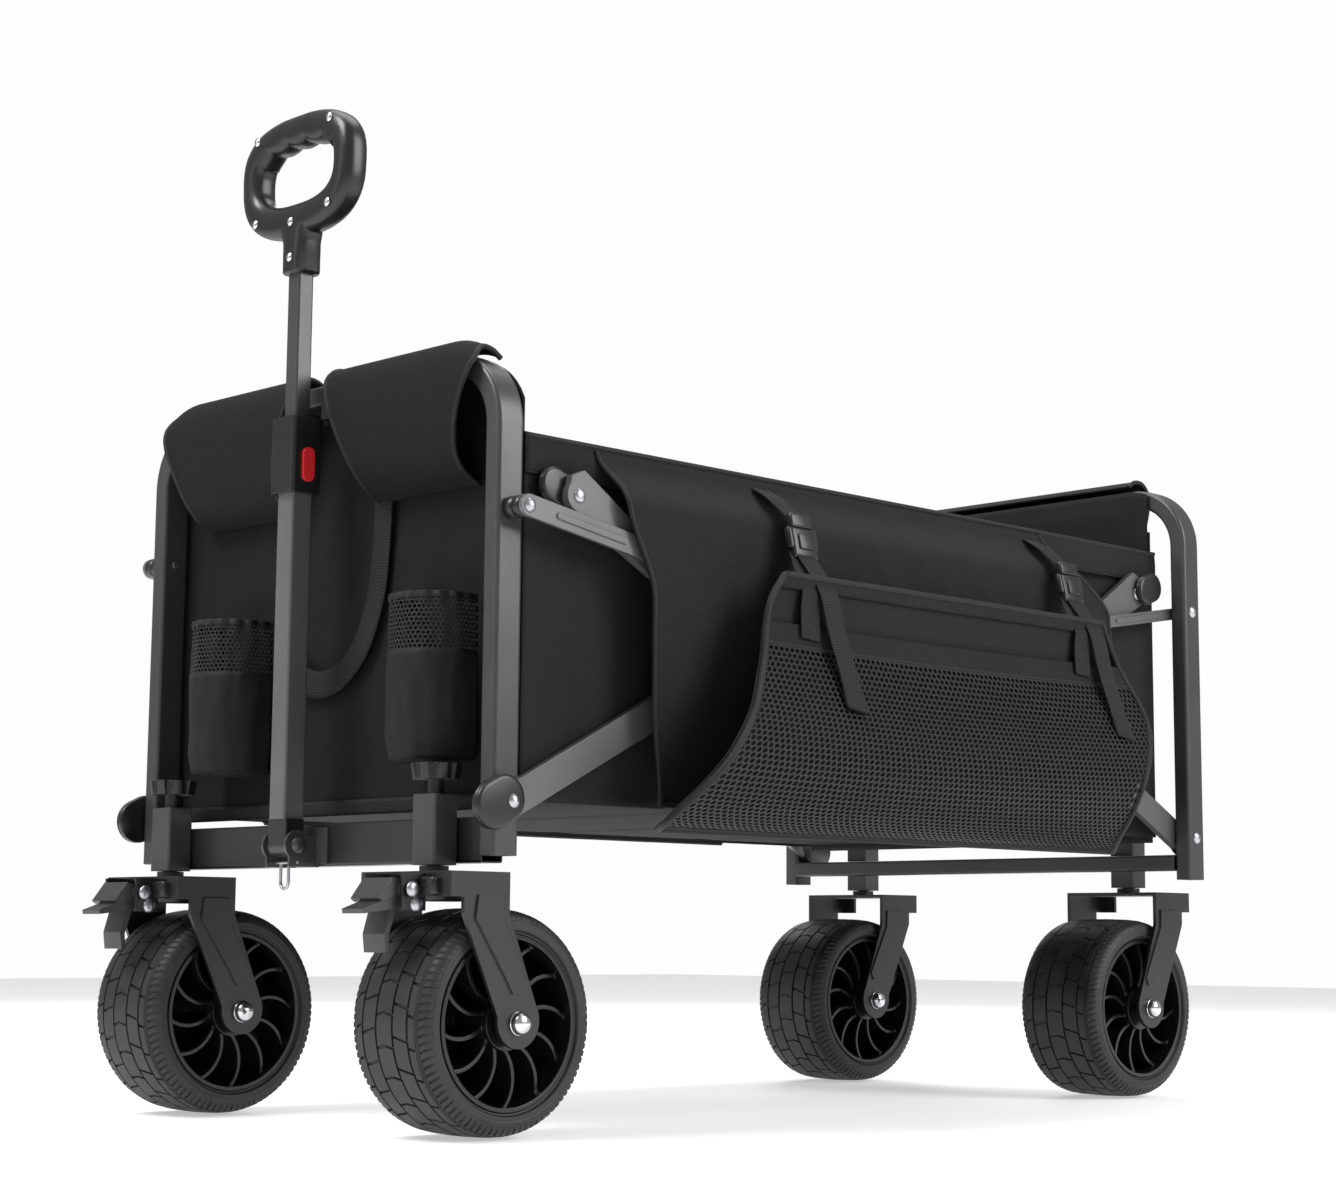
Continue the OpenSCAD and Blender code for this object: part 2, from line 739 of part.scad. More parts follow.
// Rivets that join the two halves of the grip
module grip_rivets() {
    spots = [[-57, grip_z + 43], [57, grip_z + 43], [-57, grip_z - 40], [57, grip_z - 40],
        [0, grip_z - 48], [0, neck_z + 15]];
    color("#c9cbce") for (p = spots) translate([handle_x - grip_t/2, p[0], p[1]])
        rotate([0, 0, 90]) rivet_head(10, 2);
}

// Clip on the top tube that keeps the handle upright
module handle_clip() {
    arm_y = collar_w/2 + 3;
    color("#17181a") {
        translate([front_x - tube_d/2 - 5, -arm_y - 16, frame_top - 42]) cube([5, 16, 40]);
        translate([front_x - tube_d/2 - 5, -arm_y - 16, frame_top]) cube([tube_d, 16, 3]);
        translate([front_x - tube_d/2 - 5, -arm_y - 16, frame_top - 2 - eps]) cube([4.4, 16, 2 + 2*eps]);
        translate([front_x - tube_d/2 - 12, -arm_y - 16, frame_top - 38]) cube([7 + eps, 12, 26]);
    }
}

// Wire loop that hangs from the handle bracket
module wire_bail() {
    half = 6;
    drop = 24;
    color("#17181a") translate([handle_x, 0, bail_z]) {
        for (s = [-1, 1]) translate([0, s*half, -drop + half])
            cylinder(d = bail_wire, h = drop - half, $fn = 24);
        translate([0, 0, -drop + half]) rotate([-90, 0, 90])
            rotate_extrude(angle = 180, $fn = 48) translate([half, 0]) circle(d = bail_wire, $fn = 24);
        pin_y(bail_wire, outer_tube + 14);
    }
}

// ---- Fabric body ----

// Front wall behind the front uprights, up to the top tube
// End wall of cloth whose top corners keep inside the bends of a frame of this width
module end_wall(x, width) {
    translate([x, 0, 0]) rotate([90, 0, 90]) linear_extrude(cloth_t) intersection() {
        translate([-wall_y, floor_z - mat_t]) square([2*wall_y, frame_top - floor_z + mat_t]);
        hull() for (s = [-1, 1], z = [floor_z, frame_top - bend_r])
            translate([s*(width/2 - bend_r), z]) circle(r = bend_r - 0.3, $fn = 96);
    }
}

module front_wall() {
    color("#1d1e20") end_wall(wall_x, front_w);
}

module rear_wall() {
    color("#1d1e20") end_wall(rear_wall_x, rear_w);
}

// Sleeve section: over the top tube, down its outer face and back in under it
function sleeve_line(reach, back, inset) = [
    [back, frame_top + 0.3 + cloth_t - inset],
    [reach + 2 + inset, frame_top + 0.3 + cloth_t - inset],
    [reach + inset, frame_top - 1.7 + cloth_t - inset],
    [reach + inset, frame_top - 14],
    [reach + inset, frame_top - 52],
    [reach + 6 + inset, frame_top - 78],
    [reach + 22 + inset*0.8, frame_top - 102 + inset*0.4],
    [back, frame_top - 116 + inset]
];

module sleeve(y0, y1, reach, back) {
    outer = sleeve_line(reach, back, 0);
    inner = sleeve_line(reach, back, cloth_t);
    across_y(y1 - y0, (y0 + y1)/2)
        polygon(concat(outer, [for (i = [len(inner) - 1:-1:0]) inner[i]]));
}

// Two sleeves that hang the front wall from the top tube, with the handle between them
module front_sleeves() {
    color("#232426") translate([front_x, 0, 0]) for (s = [-1, 1]) on_side(s)
        sleeve(42, 232, -tube_d/2 - cloth_t - 0.3, wall_x - front_x - 0.3);
}

module rear_sleeve() {
    color("#232426") translate([rear_x, 0, 0]) mirror([1, 0, 0])
        sleeve(-236, 236, -tube_d/2 - cloth_t - 0.3, rear_x - rear_wall_x - cloth_t - 0.3);
}

// Two open-topped pockets on the front wall
module bottle_pockets() {
    r = pocket_w/2;
    color("#242527") for (y = [-pocket_left_y, pocket_right_y]) translate([wall_x - 0.3, y, pocket_low])
        difference() {
            pocket_solid(pocket_d, r, pocket_top - pocket_low, 0);
            translate([0, 0, cloth_t]) pocket_solid(pocket_d - cloth_t, r - cloth_t, 400, 1);
        }
}

// Plan: a round front with straight flanks back to the wall
module pocket_solid(d, r, h, past) {
    linear_extrude(h) {
        translate([-d + r, 0]) difference() {
            circle(r = r, $fn = 96);
            translate([0, -r - 1]) square([r + 1, 2*r + 2]);
        }
        translate([-d + r, -r]) square([d - r + past, 2*r]);
    }
}

// Long side walls between the end walls
module side_wall(side) {
    x0 = wall_x + cloth_t + 0.3;
    x1 = rear_wall_x - 0.3;
    color("#1f2022") on_side(side) translate([x0, wall_y, floor_z - mat_t])
        cube([x1 - x0, cloth_t, side_top - floor_z + mat_t]);
}

module floor_mat() {
    x0 = wall_x + cloth_t + 0.3;
    x1 = rear_wall_x - 0.3;
    color("#222325") translate([x0, -wall_y + 0.5, floor_z - mat_t])
        cube([x1 - x0, 2*wall_y - 1, mat_t]);
}

// Cover over the braces: from the wall's top edge outward, then down
module side_cover(side) {
    top = side_top - 6;
    color("#1f2022") on_side(side) translate([-cover_half, 0, 0])
        along_x(2*cover_half)
            polygon([[wall_y + cloth_t + 0.3, side_top], [cover_y, side_top], [cover_y + cloth_t, top],
                [cover_y + cloth_t, cover_low], [cover_y, cover_low], [cover_y, side_top - cloth_t],
                [wall_y + cloth_t + 0.3, side_top - cloth_t]]);
}

// Sling pocket outside the left cover: a band of cloth that bellies out and comes back under
function sling_point(a, inset) = let (
        half = (sling_reach - cover_y - cloth_t)/2,
        cy = cover_y + cloth_t + half,
        cz = sling_low + 97
    ) [cy + (half - inset)*cos(a), cz + (97 - inset)*sin(a)];

module sling_pocket() {
    outer = [for (a = [30:-12:-102]) sling_point(a, 0)];
    inner = [for (a = [-102:12:30]) sling_point(a, cloth_t)];
    foot_y = cover_y + cloth_t + 0.3;
    color("#26272a") mirror([0, 1, 0]) translate([-sling_half - sling_shift, 0, 0]) along_x(2*sling_half)
        polygon(concat([[sling_y, sling_top]], outer, [[foot_y, cover_low + 4], [foot_y, cover_low + 4 + cloth_t]],
            inner, [[sling_y - cloth_t, sling_top]]));
}

// Webbing strap with a side-release buckle that holds up the sling pocket, its lower left corner at x
module strap_buckle(x) {
    y0 = cover_y + cloth_t + 0.4;
    color("#141517") mirror([0, 1, 0]) translate([x, 0, 0]) {
        along_x(strap_w) polygon([[y0, side_top - 14], [y0 + 2, side_top - 14], [y0 + 14, side_top - 45],
            [y0 + 12, side_top - 45]]);
        translate([-5, y0 + 10, side_top - 92]) cube([strap_w + 10, 11, 48]);
        along_x(strap_w) polygon([[y0 + 14, side_top - 91], [y0 + 16, side_top - 91],
            [sling_y, sling_top + 0.3], [sling_y - 2, sling_top + 0.3]]);
    }
}

lowered() front_frame();
lowered() front_crossbar();
lowered() front_posts();
lowered() post_knob(-1);  // knob_left
lowered() post_knob(1);  // knob_right
lowered() front_rivets();
lowered() rear_frame();
lowered() rear_bar();
lowered() rear_posts();
lowered() rear_rivets();
lowered() front_rising_brace(-1);  // front_rising_brace_left
lowered() front_falling_brace(-1);  // front_falling_brace_left
lowered() rear_rising_brace(-1);  // rear_rising_brace_left
lowered() rear_falling_brace(-1);  // rear_falling_brace_left
lowered() front_rising_brace(1);  // front_rising_brace_right
lowered() front_falling_brace(1);  // front_falling_brace_right
lowered() rear_rising_brace(1);  // rear_rising_brace_right
lowered() rear_falling_brace(1);  // rear_falling_brace_right
lowered() front_link(-1);  // front_link_left
lowered() front_link(1);  // front_link_right
lowered() rear_link(-1);  // rear_link_left
lowered() rear_link(1);  // rear_link_right
lowered() front_fork(-1);  // fork_front_left
lowered() front_fork(1);  // fork_front_right
lowered() rear_fork(-1);  // fork_rear_left
lowered() rear_fork(1);  // fork_rear_right
lowered() front_tyre(-1);  // tyre_front_left
lowered() front_tyre(1);  // tyre_front_right
lowered() rear_tyre(-1);  // tyre_rear_left
lowered() rear_tyre(1);  // tyre_rear_right
lowered() front_rim(-1);  // rim_front_left
lowered() front_rim(1);  // rim_front_right
lowered() rear_rim(-1);  // rim_rear_left
lowered() rear_rim(1);  // rim_rear_right
lowered() brake_pedal(-1);  // brake_pedal_left
lowered() brake_pedal(1);  // brake_pedal_right
lowered() handle_bracket();
lowered() handle_foot();
lowered() handle_outer_tube();
lowered() handle_collar();
lowered() release_button();
lowered() handle_inner_tube();
lowered() handle_grip();
lowered() grip_rivets();
lowered() handle_clip();
lowered() wire_bail();
lowered() front_wall();
lowered() front_sleeves();
lowered() bottle_pockets();
lowered() rear_wall();
lowered() rear_sleeve();
lowered() side_wall(-1);  // side_wall_left
lowered() side_wall(1);  // side_wall_right
lowered() floor_mat();
lowered() side_cover(-1);  // side_cover_left
lowered() side_cover(1);  // side_cover_right
lowered() sling_pocket();
lowered() strap_buckle(-172);  // strap_buckle_front
lowered() strap_buckle(252);  // strap_buckle_rear
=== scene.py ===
# %% [markdown]
# # A folding camp wagon
# The wagon is a padded cloth box hung in a folding steel frame, on four fat swivel casters.
# The steel parts arrive as exact CAD shapes. Everything sewn, moulded or rubbery is made here, because
# those are the shapes that CAD leaves too plain.

# %% Load the fixed frame
import math
import bpy
import bmesh
from mathutils import Matrix, Vector, noise


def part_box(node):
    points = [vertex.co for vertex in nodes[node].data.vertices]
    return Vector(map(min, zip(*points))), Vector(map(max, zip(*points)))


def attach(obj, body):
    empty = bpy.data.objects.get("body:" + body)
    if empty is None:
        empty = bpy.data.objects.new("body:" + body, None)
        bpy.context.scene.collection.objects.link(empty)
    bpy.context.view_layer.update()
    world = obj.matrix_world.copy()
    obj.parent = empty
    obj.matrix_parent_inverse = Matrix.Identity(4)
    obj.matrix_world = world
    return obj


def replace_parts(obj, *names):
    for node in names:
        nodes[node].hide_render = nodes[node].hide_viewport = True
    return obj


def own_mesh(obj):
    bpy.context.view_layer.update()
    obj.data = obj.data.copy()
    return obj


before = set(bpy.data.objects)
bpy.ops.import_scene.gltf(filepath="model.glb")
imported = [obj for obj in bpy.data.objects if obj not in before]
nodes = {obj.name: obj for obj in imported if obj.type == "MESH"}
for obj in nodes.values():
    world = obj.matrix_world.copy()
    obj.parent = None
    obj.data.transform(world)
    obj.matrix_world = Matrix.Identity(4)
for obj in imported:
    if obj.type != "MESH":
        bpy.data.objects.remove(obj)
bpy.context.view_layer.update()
GROUND = -0.306                    # the floor that the wheels stand on


def up(z):
    """A height above the ground, in the frame of the CAD."""
    return GROUND + z


# %% [markdown]
# ## Where we look from
# The view is low and close to one corner. A 68.7 mm lens keeps the near wheel only a little larger than
# the far one. The camera looks slightly upward, so the wagon seems tall.

# %% Camera
camera = bpy.data.objects.new("Camera", bpy.data.cameras.new("Camera"))
bpy.context.scene.collection.objects.link(camera)
camera.data.lens = 68.7
camera.data.sensor_width = 36.0
yaw, pitch, roll = math.radians(45.12), math.radians(7.81), math.radians(0.43)
look = Vector((math.cos(pitch)*math.cos(yaw), math.cos(pitch)*math.sin(yaw), math.sin(pitch)))
camera.rotation_mode = "QUATERNION"
camera.rotation_quaternion = look.to_track_quat("-Z", "Y") @ Matrix.Rotation(roll, 3, "Z").to_quaternion()
camera.location = (-1.9697, -1.9393, -0.1319)
bpy.context.scene.camera = camera

# %% [markdown]
# ## Light for black things on white
# Dark enamel and dark cloth are read by their edges. A pale room gives every rounded corner a soft
# bright line, and large lamps lift the tops, the front and the near side.

# %% Floor, world and lamps
bpy.ops.mesh.primitive_plane_add(size=14, location=(0, 0, GROUND - 0.0005))
floor = bpy.context.object
floor.name = "studio_floor"


def area_lamp(name, where, size, watts, target=(0, 0, 0.1)):
    lamp = bpy.data.objects.new(name, bpy.data.lights.new(name, "AREA"))
    lamp.data.shape = "RECTANGLE"
    lamp.data.size, lamp.data.size_y = size
    lamp.data.energy = watts
    lamp.location = where
    lamp.rotation_euler = (Vector(target) - Vector(where)).to_track_quat("-Z", "Y").to_euler()
    bpy.context.scene.collection.objects.link(lamp)


area_lamp("key", (1.3, -3.1, 1.7), (2.0, 2.2), 92)
area_lamp("front_strip", (-3.4, 1.6, 1.2), (0.5, 2.4), 8)
area_lamp("front_high", (-2.3, 0.4, 2.5), (1.3, 1.3), 78, (-0.4, 0, 0.0))
area_lamp("top", (0.2, 0.3, 3.4), (3.0, 2.0), 60)
area_lamp("back_rim", (2.2, 2.6, 1.8), (1.6, 2.0), 40)
world = bpy.data.worlds.new("pale_room")
world.use_nodes = True
room = world.node_tree.nodes["Background"]
room.inputs["Color"].default_value = (0.98, 0.985, 0.99, 1)
seen = world.node_tree.nodes.new("ShaderNodeLightPath")
strength = world.node_tree.nodes.new("ShaderNodeMapRange")      # white to look at, dimmer as a lamp
strength.inputs["To Min"].default_value = 0.36
strength.inputs["To Max"].default_value = 1.0
world.node_tree.links.new(seen.outputs["Is Camera Ray"], strength.inputs["Value"])
world.node_tree.links.new(strength.outputs["Result"], room.inputs["Strength"])
bpy.context.scene.world = world
bpy.context.scene.view_settings.view_transform = "Standard"

# %% [markdown]
# ## A small language for finishes
# A shader is easier to read as arithmetic. The class below wraps one socket, and its operators add the
# Math nodes that the expression needs.

# %% Node expressions


class Value:
    """A number that changes over a surface."""

    def __init__(self, finish, socket):
        self.finish, self.socket = finish, socket

    def _math(self, operation, other=None, swap=False):
        a, b = (other, self) if swap else (self, other)
        values = {0: a} if other is None else {0: a, 1: b}
        return self.finish.node("ShaderNodeMath", {"operation": operation}, values)

    def __add__(self, o): return self._math("ADD", o)
    def __radd__(self, o): return self._math("ADD", o, True)
    def __sub__(self, o): return self._math("SUBTRACT", o)
    def __rsub__(self, o): return self._math("SUBTRACT", o, True)
    def __mul__(self, o): return self._math("MULTIPLY", o)
    def sin(self): return self._math("SINE")
    def at_least(self, o): return self._math("MAXIMUM", o)


class Finish:
    """A material under construction."""

    def __init__(self, name, colour, roughness, metallic=0.0, **fixed):
        self.material = bpy.data.materials.new(name)
        self.material.use_nodes = True
        self.tree = self.material.node_tree
        self.shader = self.tree.nodes["Principled BSDF"]
        self.shader.inputs["Base Color"].default_value = (*colour, 1)
        self.shader.inputs["Roughness"].default_value = roughness
        self.shader.inputs["Metallic"].default_value = metallic
        for socket, value in fixed.items():
            self.shader.inputs[socket.replace("_", " ").title()].default_value = value

    def node(self, kind, settings=None, values=None, output=0):
        made = self.tree.nodes.new(kind)
        for key, value in (settings or {}).items():
            if key == "stops":
                while len(made.color_ramp.elements) < len(value):
                    made.color_ramp.elements.new(0.5)
                for element, (place, shade) in zip(made.color_ramp.elements, value):
                    element.position = place
                    element.color = (shade, shade, shade, 1)
            else:
                setattr(made, key, value)
        for key, value in (values or {}).items():
            if isinstance(value, Value):
                self.tree.links.new(value.socket, made.inputs[key])
            elif value is not None:
                made.inputs[key].default_value = value
        return Value(self, made.outputs[output])

    def place(self, flat=False):
        """Metres on the object, or metres along the cloth."""
        if flat:
            return self.node("ShaderNodeAttribute", {"attribute_name": "cloth"}, output="Vector")
        return self.node("ShaderNodeTexCoord", output="Object")

    def xyz(self, where):
        made = self.tree.nodes.new("ShaderNodeSeparateXYZ")
        self.tree.links.new(where.socket, made.inputs[0])
        return [Value(self, s) for s in made.outputs]

    def speckle(self, where, scale, detail=3.0, roughness=0.5):
        return self.node("ShaderNodeTexNoise", None,
                         {"Vector": where, "Scale": scale, "Detail": detail, "Roughness": roughness})

    def ramp(self, value, stops):
        return self.node("ShaderNodeValToRGB", {"stops": stops}, {"Fac": value})

    def blend(self, factor, dark, light):
        return self.node("ShaderNodeMix", {"data_type": "RGBA"},
                         {"Factor": factor, 6: (*dark, 1), 7: (*light, 1)}, output=2)

    def relief(self, height, distance, strength=1.0, rounded=0.0):
        bevel = None
        if rounded:
            bevel = self.node("ShaderNodeBevel", {"samples": 6}, {"Radius": rounded})
        return self.node("ShaderNodeBump", None,
                         {"Height": height, "Distance": distance, "Strength": strength, "Normal": bevel})

    def feed(self, **inputs):
        for socket, value in inputs.items():
            self.tree.links.new(value.socket, self.shader.inputs[socket.replace("_", " ").title()])
        return self.material


# %% [markdown]
# ## Enamel, zinc and chrome
# The tubes are powder coated: dark grey, half glossy, with a very fine orange peel. Edges that are sharp
# in the CAD are rounded by the Bevel node, so that each one catches a thin line of light. The coat is
# rubbed a little shinier and paler in broad random patches.

# %% Metal finishes


def enamel(name, colour, roughness, peel=0.00004, rounded=0.0014):
    f = Finish(name, colour, roughness, 0.0, coat_weight=0.25, coat_roughness=0.22)
    where = f.place()
    fine = f.speckle(where, 900, 2)
    broad = f.speckle(where, 9, 4)
    rub = f.ramp(broad, [(0.42, 0.0), (0.72, 1.0)])
    tone = f.blend(rub, colour, tuple(min(1, c*1.32 + 0.006) for c in colour))
    return f.feed(base_color=tone, roughness=roughness - rub*0.09 + fine*0.10,
                  normal=f.relief(fine, peel, 0.8, rounded))


frame_enamel = enamel("black_enamel", (0.0300, 0.0304, 0.0316), 0.36)
brace_enamel = enamel("brace_enamel", (0.078, 0.079, 0.081), 0.40)
grey_enamel = enamel("grey_enamel", (0.034, 0.0345, 0.036), 0.34)
# Much darker copy of the enamel, used as painted shade on the forks, the front crossbar, the handle foot and the swivel
# housings, which sit low in shadow.
fork_enamel = enamel("fork_enamel", (0.0045, 0.0046, 0.0049), 0.40)
# Paler copy of the enamel: painted light on the outer handle tube, whose front catches the lamps.
handle_enamel = enamel("handle_enamel", (0.085, 0.086, 0.088), 0.38)


def bright_metal(name, colour, roughness, scratch):
    f = Finish(name, colour, roughness, 1.0)
    where = f.place()
    marks = f.speckle(where, scratch, 4, 0.7)
    return f.feed(base_color=f.blend(marks, tuple(c*0.72 for c in colour), colour),
                  roughness=roughness + marks*0.14, normal=f.relief(marks, 0.00002, 0.5, 0.0007))


zinc = bright_metal("zinc_steel", (0.52, 0.53, 0.55), 0.26, 420)
chrome = bright_metal("dark_chrome", (0.80, 0.81, 0.83), 0.12, 160)

# %% [markdown]
# ## Moulded plastic
# Glass-filled nylon has a fine spark-eroded grain. The grip, knobs, clips and rims share one recipe at
# different gloss.

# %% Plastic finishes


def moulded(name, colour, roughness, grain=0.00005, rounded=0.0012):
    f = Finish(name, colour, roughness)
    where = f.place()
    fine = f.speckle(where, 1400, 2)
    cloud = f.speckle(where, 14, 3)
    return f.feed(base_color=f.blend(cloud, colour, tuple(c*1.4 + 0.004 for c in colour)),
                  roughness=roughness + (fine - 0.5)*0.12 - cloud*0.05,
                  normal=f.relief(fine, grain, 0.7, rounded))


black_plastic = moulded("black_plastic", (0.0075, 0.0076, 0.0080), 0.33)
rim_plastic = moulded("rim_plastic", (0.0045, 0.0045, 0.005), 0.26, rounded=0.0016)
red_plastic = moulded("red_plastic", (0.52, 0.018, 0.022), 0.28)
grey_plastic = moulded("grey_plastic", (0.030, 0.0305, 0.032), 0.42)

# %% [markdown]
# ## Tyre rubber
# Moulded rubber is nearly black with a dusty bloom. The tread blocks are real geometry; the finish adds
# the satin skin and fine scuffs.

# %% Rubber


def rubber():
    f = Finish("tyre_rubber", (0.018, 0.0185, 0.0195), 0.56)
    where = f.place()
    fine = f.speckle(where, 700, 3)
    dust = f.ramp(f.speckle(where, 28, 5), [(0.40, 0.0), (0.75, 1.0)])
    return f.feed(base_color=f.blend(dust, (0.0120, 0.0122, 0.0128), (0.026, 0.0265, 0.0275)),
                  roughness=0.50 + dust*0.16, normal=f.relief(fine, 0.00012, 0.6))


tyre_rubber = rubber()

# %% [markdown]
# ## Oxford cloth, mesh and webbing
# The box is coarse polyester oxford. Each grid piece carries an attribute with its own width and length in
# metres, so the weave follows the cloth round a bend. Warp and weft are two sine waves; where one is high
# the thread shows, and a slow noise makes some threads darker, as in real yarn.

# %% Cloth finishes


def woven(name, colour, thread, depth, roughness=0.78, light=1.9, shine=0.22):
    f = Finish(name, colour, roughness, 0.0)
    f.shader.inputs["Specular IOR Level"].default_value = shine
    where = f.place(flat=True)
    u, v, _ = f.xyz(where)
    k = 2*math.pi/thread
    warp = (u*k).sin()
    weft = (v*k).sin()
    over = warp.at_least(weft)
    slub = f.speckle(where, 0.35/thread, 3, 0.6)
    wear = f.ramp(f.speckle(where, 7, 5, 0.6), [(0.35, 0.0), (0.8, 1.0)])
    tone = f.blend((over*0.5 + 0.35)*(slub*0.9 + 0.2) + wear*0.18, tuple(c*0.45 for c in colour),
                   tuple(c*light for c in colour))
    return f.feed(base_color=tone, roughness=roughness - over*0.06 + slub*0.05,
                  normal=f.relief(over + slub*0.5, depth, 0.9))


oxford = woven("black_fabric", (0.0125, 0.0126, 0.0132), 0.0016, 0.00016)
# Darker copy of the same oxford: painted shade for the front wall and the front sleeves.
painted_shade_oxford = woven("front_fabric", (0.0058, 0.0059, 0.0062), 0.0016, 0.00016)
webbing = woven("webbing", (0.0085, 0.0086, 0.0090), 0.0028, 0.0004, 0.62, 2.1, 0.3)
binding = woven("binding", (0.0065, 0.0066, 0.0070), 0.0022, 0.0002, 0.55, 2.0, 0.35)
mesh_yarn = woven("mesh_fabric", (0.0090, 0.0092, 0.0096), 0.0012, 0.0001, 0.5, 1.8, 0.35)
mat_cloth = woven("mat_fabric", (0.0100, 0.0102, 0.0108), 0.0016, 0.00016)

# %% [markdown]
# The studio floor is nearly white, so the wagon's contact shadows are the only thing on it.

# %% Floor finish
plain = Finish("studio_white", (0.80, 0.802, 0.806), 0.7)
plain.shader.inputs["Emission Color"].default_value = (1, 1, 1, 1)
plain.shader.inputs["Emission Strength"].default_value = 0.44
floor.data.materials.append(plain.material)

# %% Dress the CAD steel and plastic
for name, thing in nodes.items():
    choice = frame_enamel
    if "brace" in name or "link" in name:
        choice = brace_enamel
    elif name in ("front_rivets", "rear_rivets", "wire_bail"):
        choice = zinc
    elif name == "grip_rivets":
        choice = chrome
    elif name.startswith("knob") or name in ("handle_collar", "handle_clip"):
        choice = black_plastic
    elif name.startswith("rim"):
        choice = rim_plastic
    elif name == "release_button":
        choice = red_plastic
    elif name == "handle_inner_tube":
        choice = grey_enamel
    # The outer handle tube takes the paler enamel, with painted light on it.
    elif name == "handle_outer_tube":
        choice = handle_enamel
    elif name.startswith("brake"):
        choice = grey_plastic
    # Forks, the front crossbar and the handle foot take the darker enamel, with painted shade.
    elif name.startswith("fork") or name in ("front_crossbar", "handle_foot"):
        choice = fork_enamel
    thing.data.materials.clear()
    thing.data.materials.append(choice)

# %% [markdown]
# ## Making sheets
# Nearly every sewn piece is one sheet over a grid. A function says where each point of the sheet lies in
# space; the helper builds the grid, measures the lengths along it for the weave, and gives it thickness.

# %% Sheet, tube and strip helpers


def finished(name, bm, material, body, smooth=True):
    bmesh.ops.recalc_face_normals(bm, faces=bm.faces)
    mesh = bpy.data.meshes.new(name)
    bm.to_mesh(mesh)
    bm.free()
    piece = bpy.data.objects.new(name, mesh)
    bpy.context.scene.collection.objects.link(piece)
    for face in mesh.polygons:
        face.use_smooth = smooth
    mesh.materials.append(material)
    if body:
        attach(piece, body)
    return piece


def skin(bm, rings, closed=True):
    """Faces between neighbouring rings, and across the two ends."""
    for a, b in zip(rings, rings[1:]):
        for k in range(len(a)):
            n = (k + 1) % len(a)
            bm.faces.new((a[k], a[n], b[n], b[k]))
    if closed:
        bm.faces.new(rings[0])
        bm.faces.new(rings[-1])


def freeze(piece):
    """Applies a piece's modifiers to its mesh."""
    graph = bpy.context.evaluated_depsgraph_get()
    baked = bpy.data.meshes.new_from_object(piece.evaluated_get(graph))
    piece.modifiers.clear()
    old = piece.data
    piece.data = baked
    bpy.data.meshes.remove(old)
    return piece


def thicken(piece, thick, body):
    """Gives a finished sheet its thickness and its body."""
    solid = piece.modifiers.new("thick", "SOLIDIFY")
    solid.thickness, solid.offset = thick, 0
    bpy.context.view_layer.update()
    freeze(piece)
    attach(piece, body)
    return piece


def grid_points(shape, across, along):
    rows = []
    for j in range(along + 1):
        rows.append([Vector(shape(i/across, j/along)) for i in range(across + 1)])
    return rows


def sheet_piece(name, shape, across, along, material, body, thick=0.0022):
    """A sheet over the unit square, with an even thickness toward its back."""
    rows = grid_points(shape, across, along)
    bm = bmesh.new()
    flat = bm.verts.layers.float_vector.new("cloth")
    grid, v_run = [], 0.0
    for j, row in enumerate(rows):
        if j:
            v_run += (row[across//2] - rows[j - 1][across//2]).length
        u_run, line = 0.0, []
        for i, point in enumerate(row):
            if i:
                u_run += (point - row[i - 1]).length
            vert = bm.verts.new(point)
            vert[flat] = (u_run, v_run, 0)
            line.append(vert)
        grid.append(line)
    for j in range(along):
        for i in range(across):
            bm.faces.new((grid[j][i], grid[j][i + 1], grid[j + 1][i + 1], grid[j + 1][i]))
    return thicken(finished(name, bm, material, None), thick, body)


def sheet_size(shape, steps=24):
    """Width and length of a sheet, measured along its middle lines."""
    w = sum((Vector(shape((i + 1)/steps, 0.5)) - Vector(shape(i/steps, 0.5))).length for i in range(steps))
    l = sum((Vector(shape(0.5, (i + 1)/steps)) - Vector(shape(0.5, i/steps))).length for i in range(steps))
    return w, l


def smooth_path(points, count):
    """A Catmull-Rom curve through a few points."""
    pts = [Vector(p) for p in points]
    pts = [pts[0]*2 - pts[1]] + pts + [pts[-1]*2 - pts[-2]]
    out = []
    for k in range(count + 1):
        t = k/count*(len(pts) - 3)
        i = min(int(t), len(pts) - 4)
        t -= i
        a, b, c, d = pts[i:i + 4]
        out.append(0.5*((2*b) + (c - a)*t + (2*a - 5*b + 4*c - d)*t*t + (3*b - 3*c + d - a)*t**3))
    return out


def tube_piece(name, path, radius, material, body, sides=10, slot="black_fabric", squash_to=1.0):
    """A round cord, such as a bound edge, swept along a path."""
    bm = bmesh.new()
    flat = bm.verts.layers.float_vector.new("cloth")
    rings, run = [], 0.0
    side = Vector((0, 0, 1))
    for k, point in enumerate(path):
        ahead = (path[min(k + 1, len(path) - 1)] - path[max(k - 1, 0)]).normalized()
        side = (side - ahead*side.dot(ahead))
        side = side.normalized() if side.length > 1e-4 else ahead.orthogonal().normalized()
        other = ahead.cross(side)
        if k:
            run += (point - path[k - 1]).length
        ring = []
        for s in range(sides):
            a = 2*math.pi*s/sides
            vert = bm.verts.new(point + side*math.cos(a)*radius + other*math.sin(a)*radius*squash_to)
            vert[flat] = (a*radius, run, 0)
            ring.append(vert)
        rings.append(ring)
    skin(bm, rings)
    return finished(name, bm, material, body)


def bound(name, path, radius, body, **settings):
    """A round cord of binding along a path."""
    return tube_piece(name, path, radius, binding, body, slot="webbing", **settings)


def edge_of(shape, side, count=60):
    """The path along one edge of a sheet: left, right, top or bottom."""
    spots = {"left": lambda t: (0, t), "right": lambda t: (1, t),
             "top": lambda t: (t, 0), "bottom": lambda t: (t, 1)}[side]
    return [Vector(shape(*spots(k/count))) for k in range(count + 1)]


def wrinkle(x, y, size, seed=0.0):
    """Slow folds: smooth noise between -1 and 1."""
    return noise.noise(Vector((x/size, y/size, seed)))


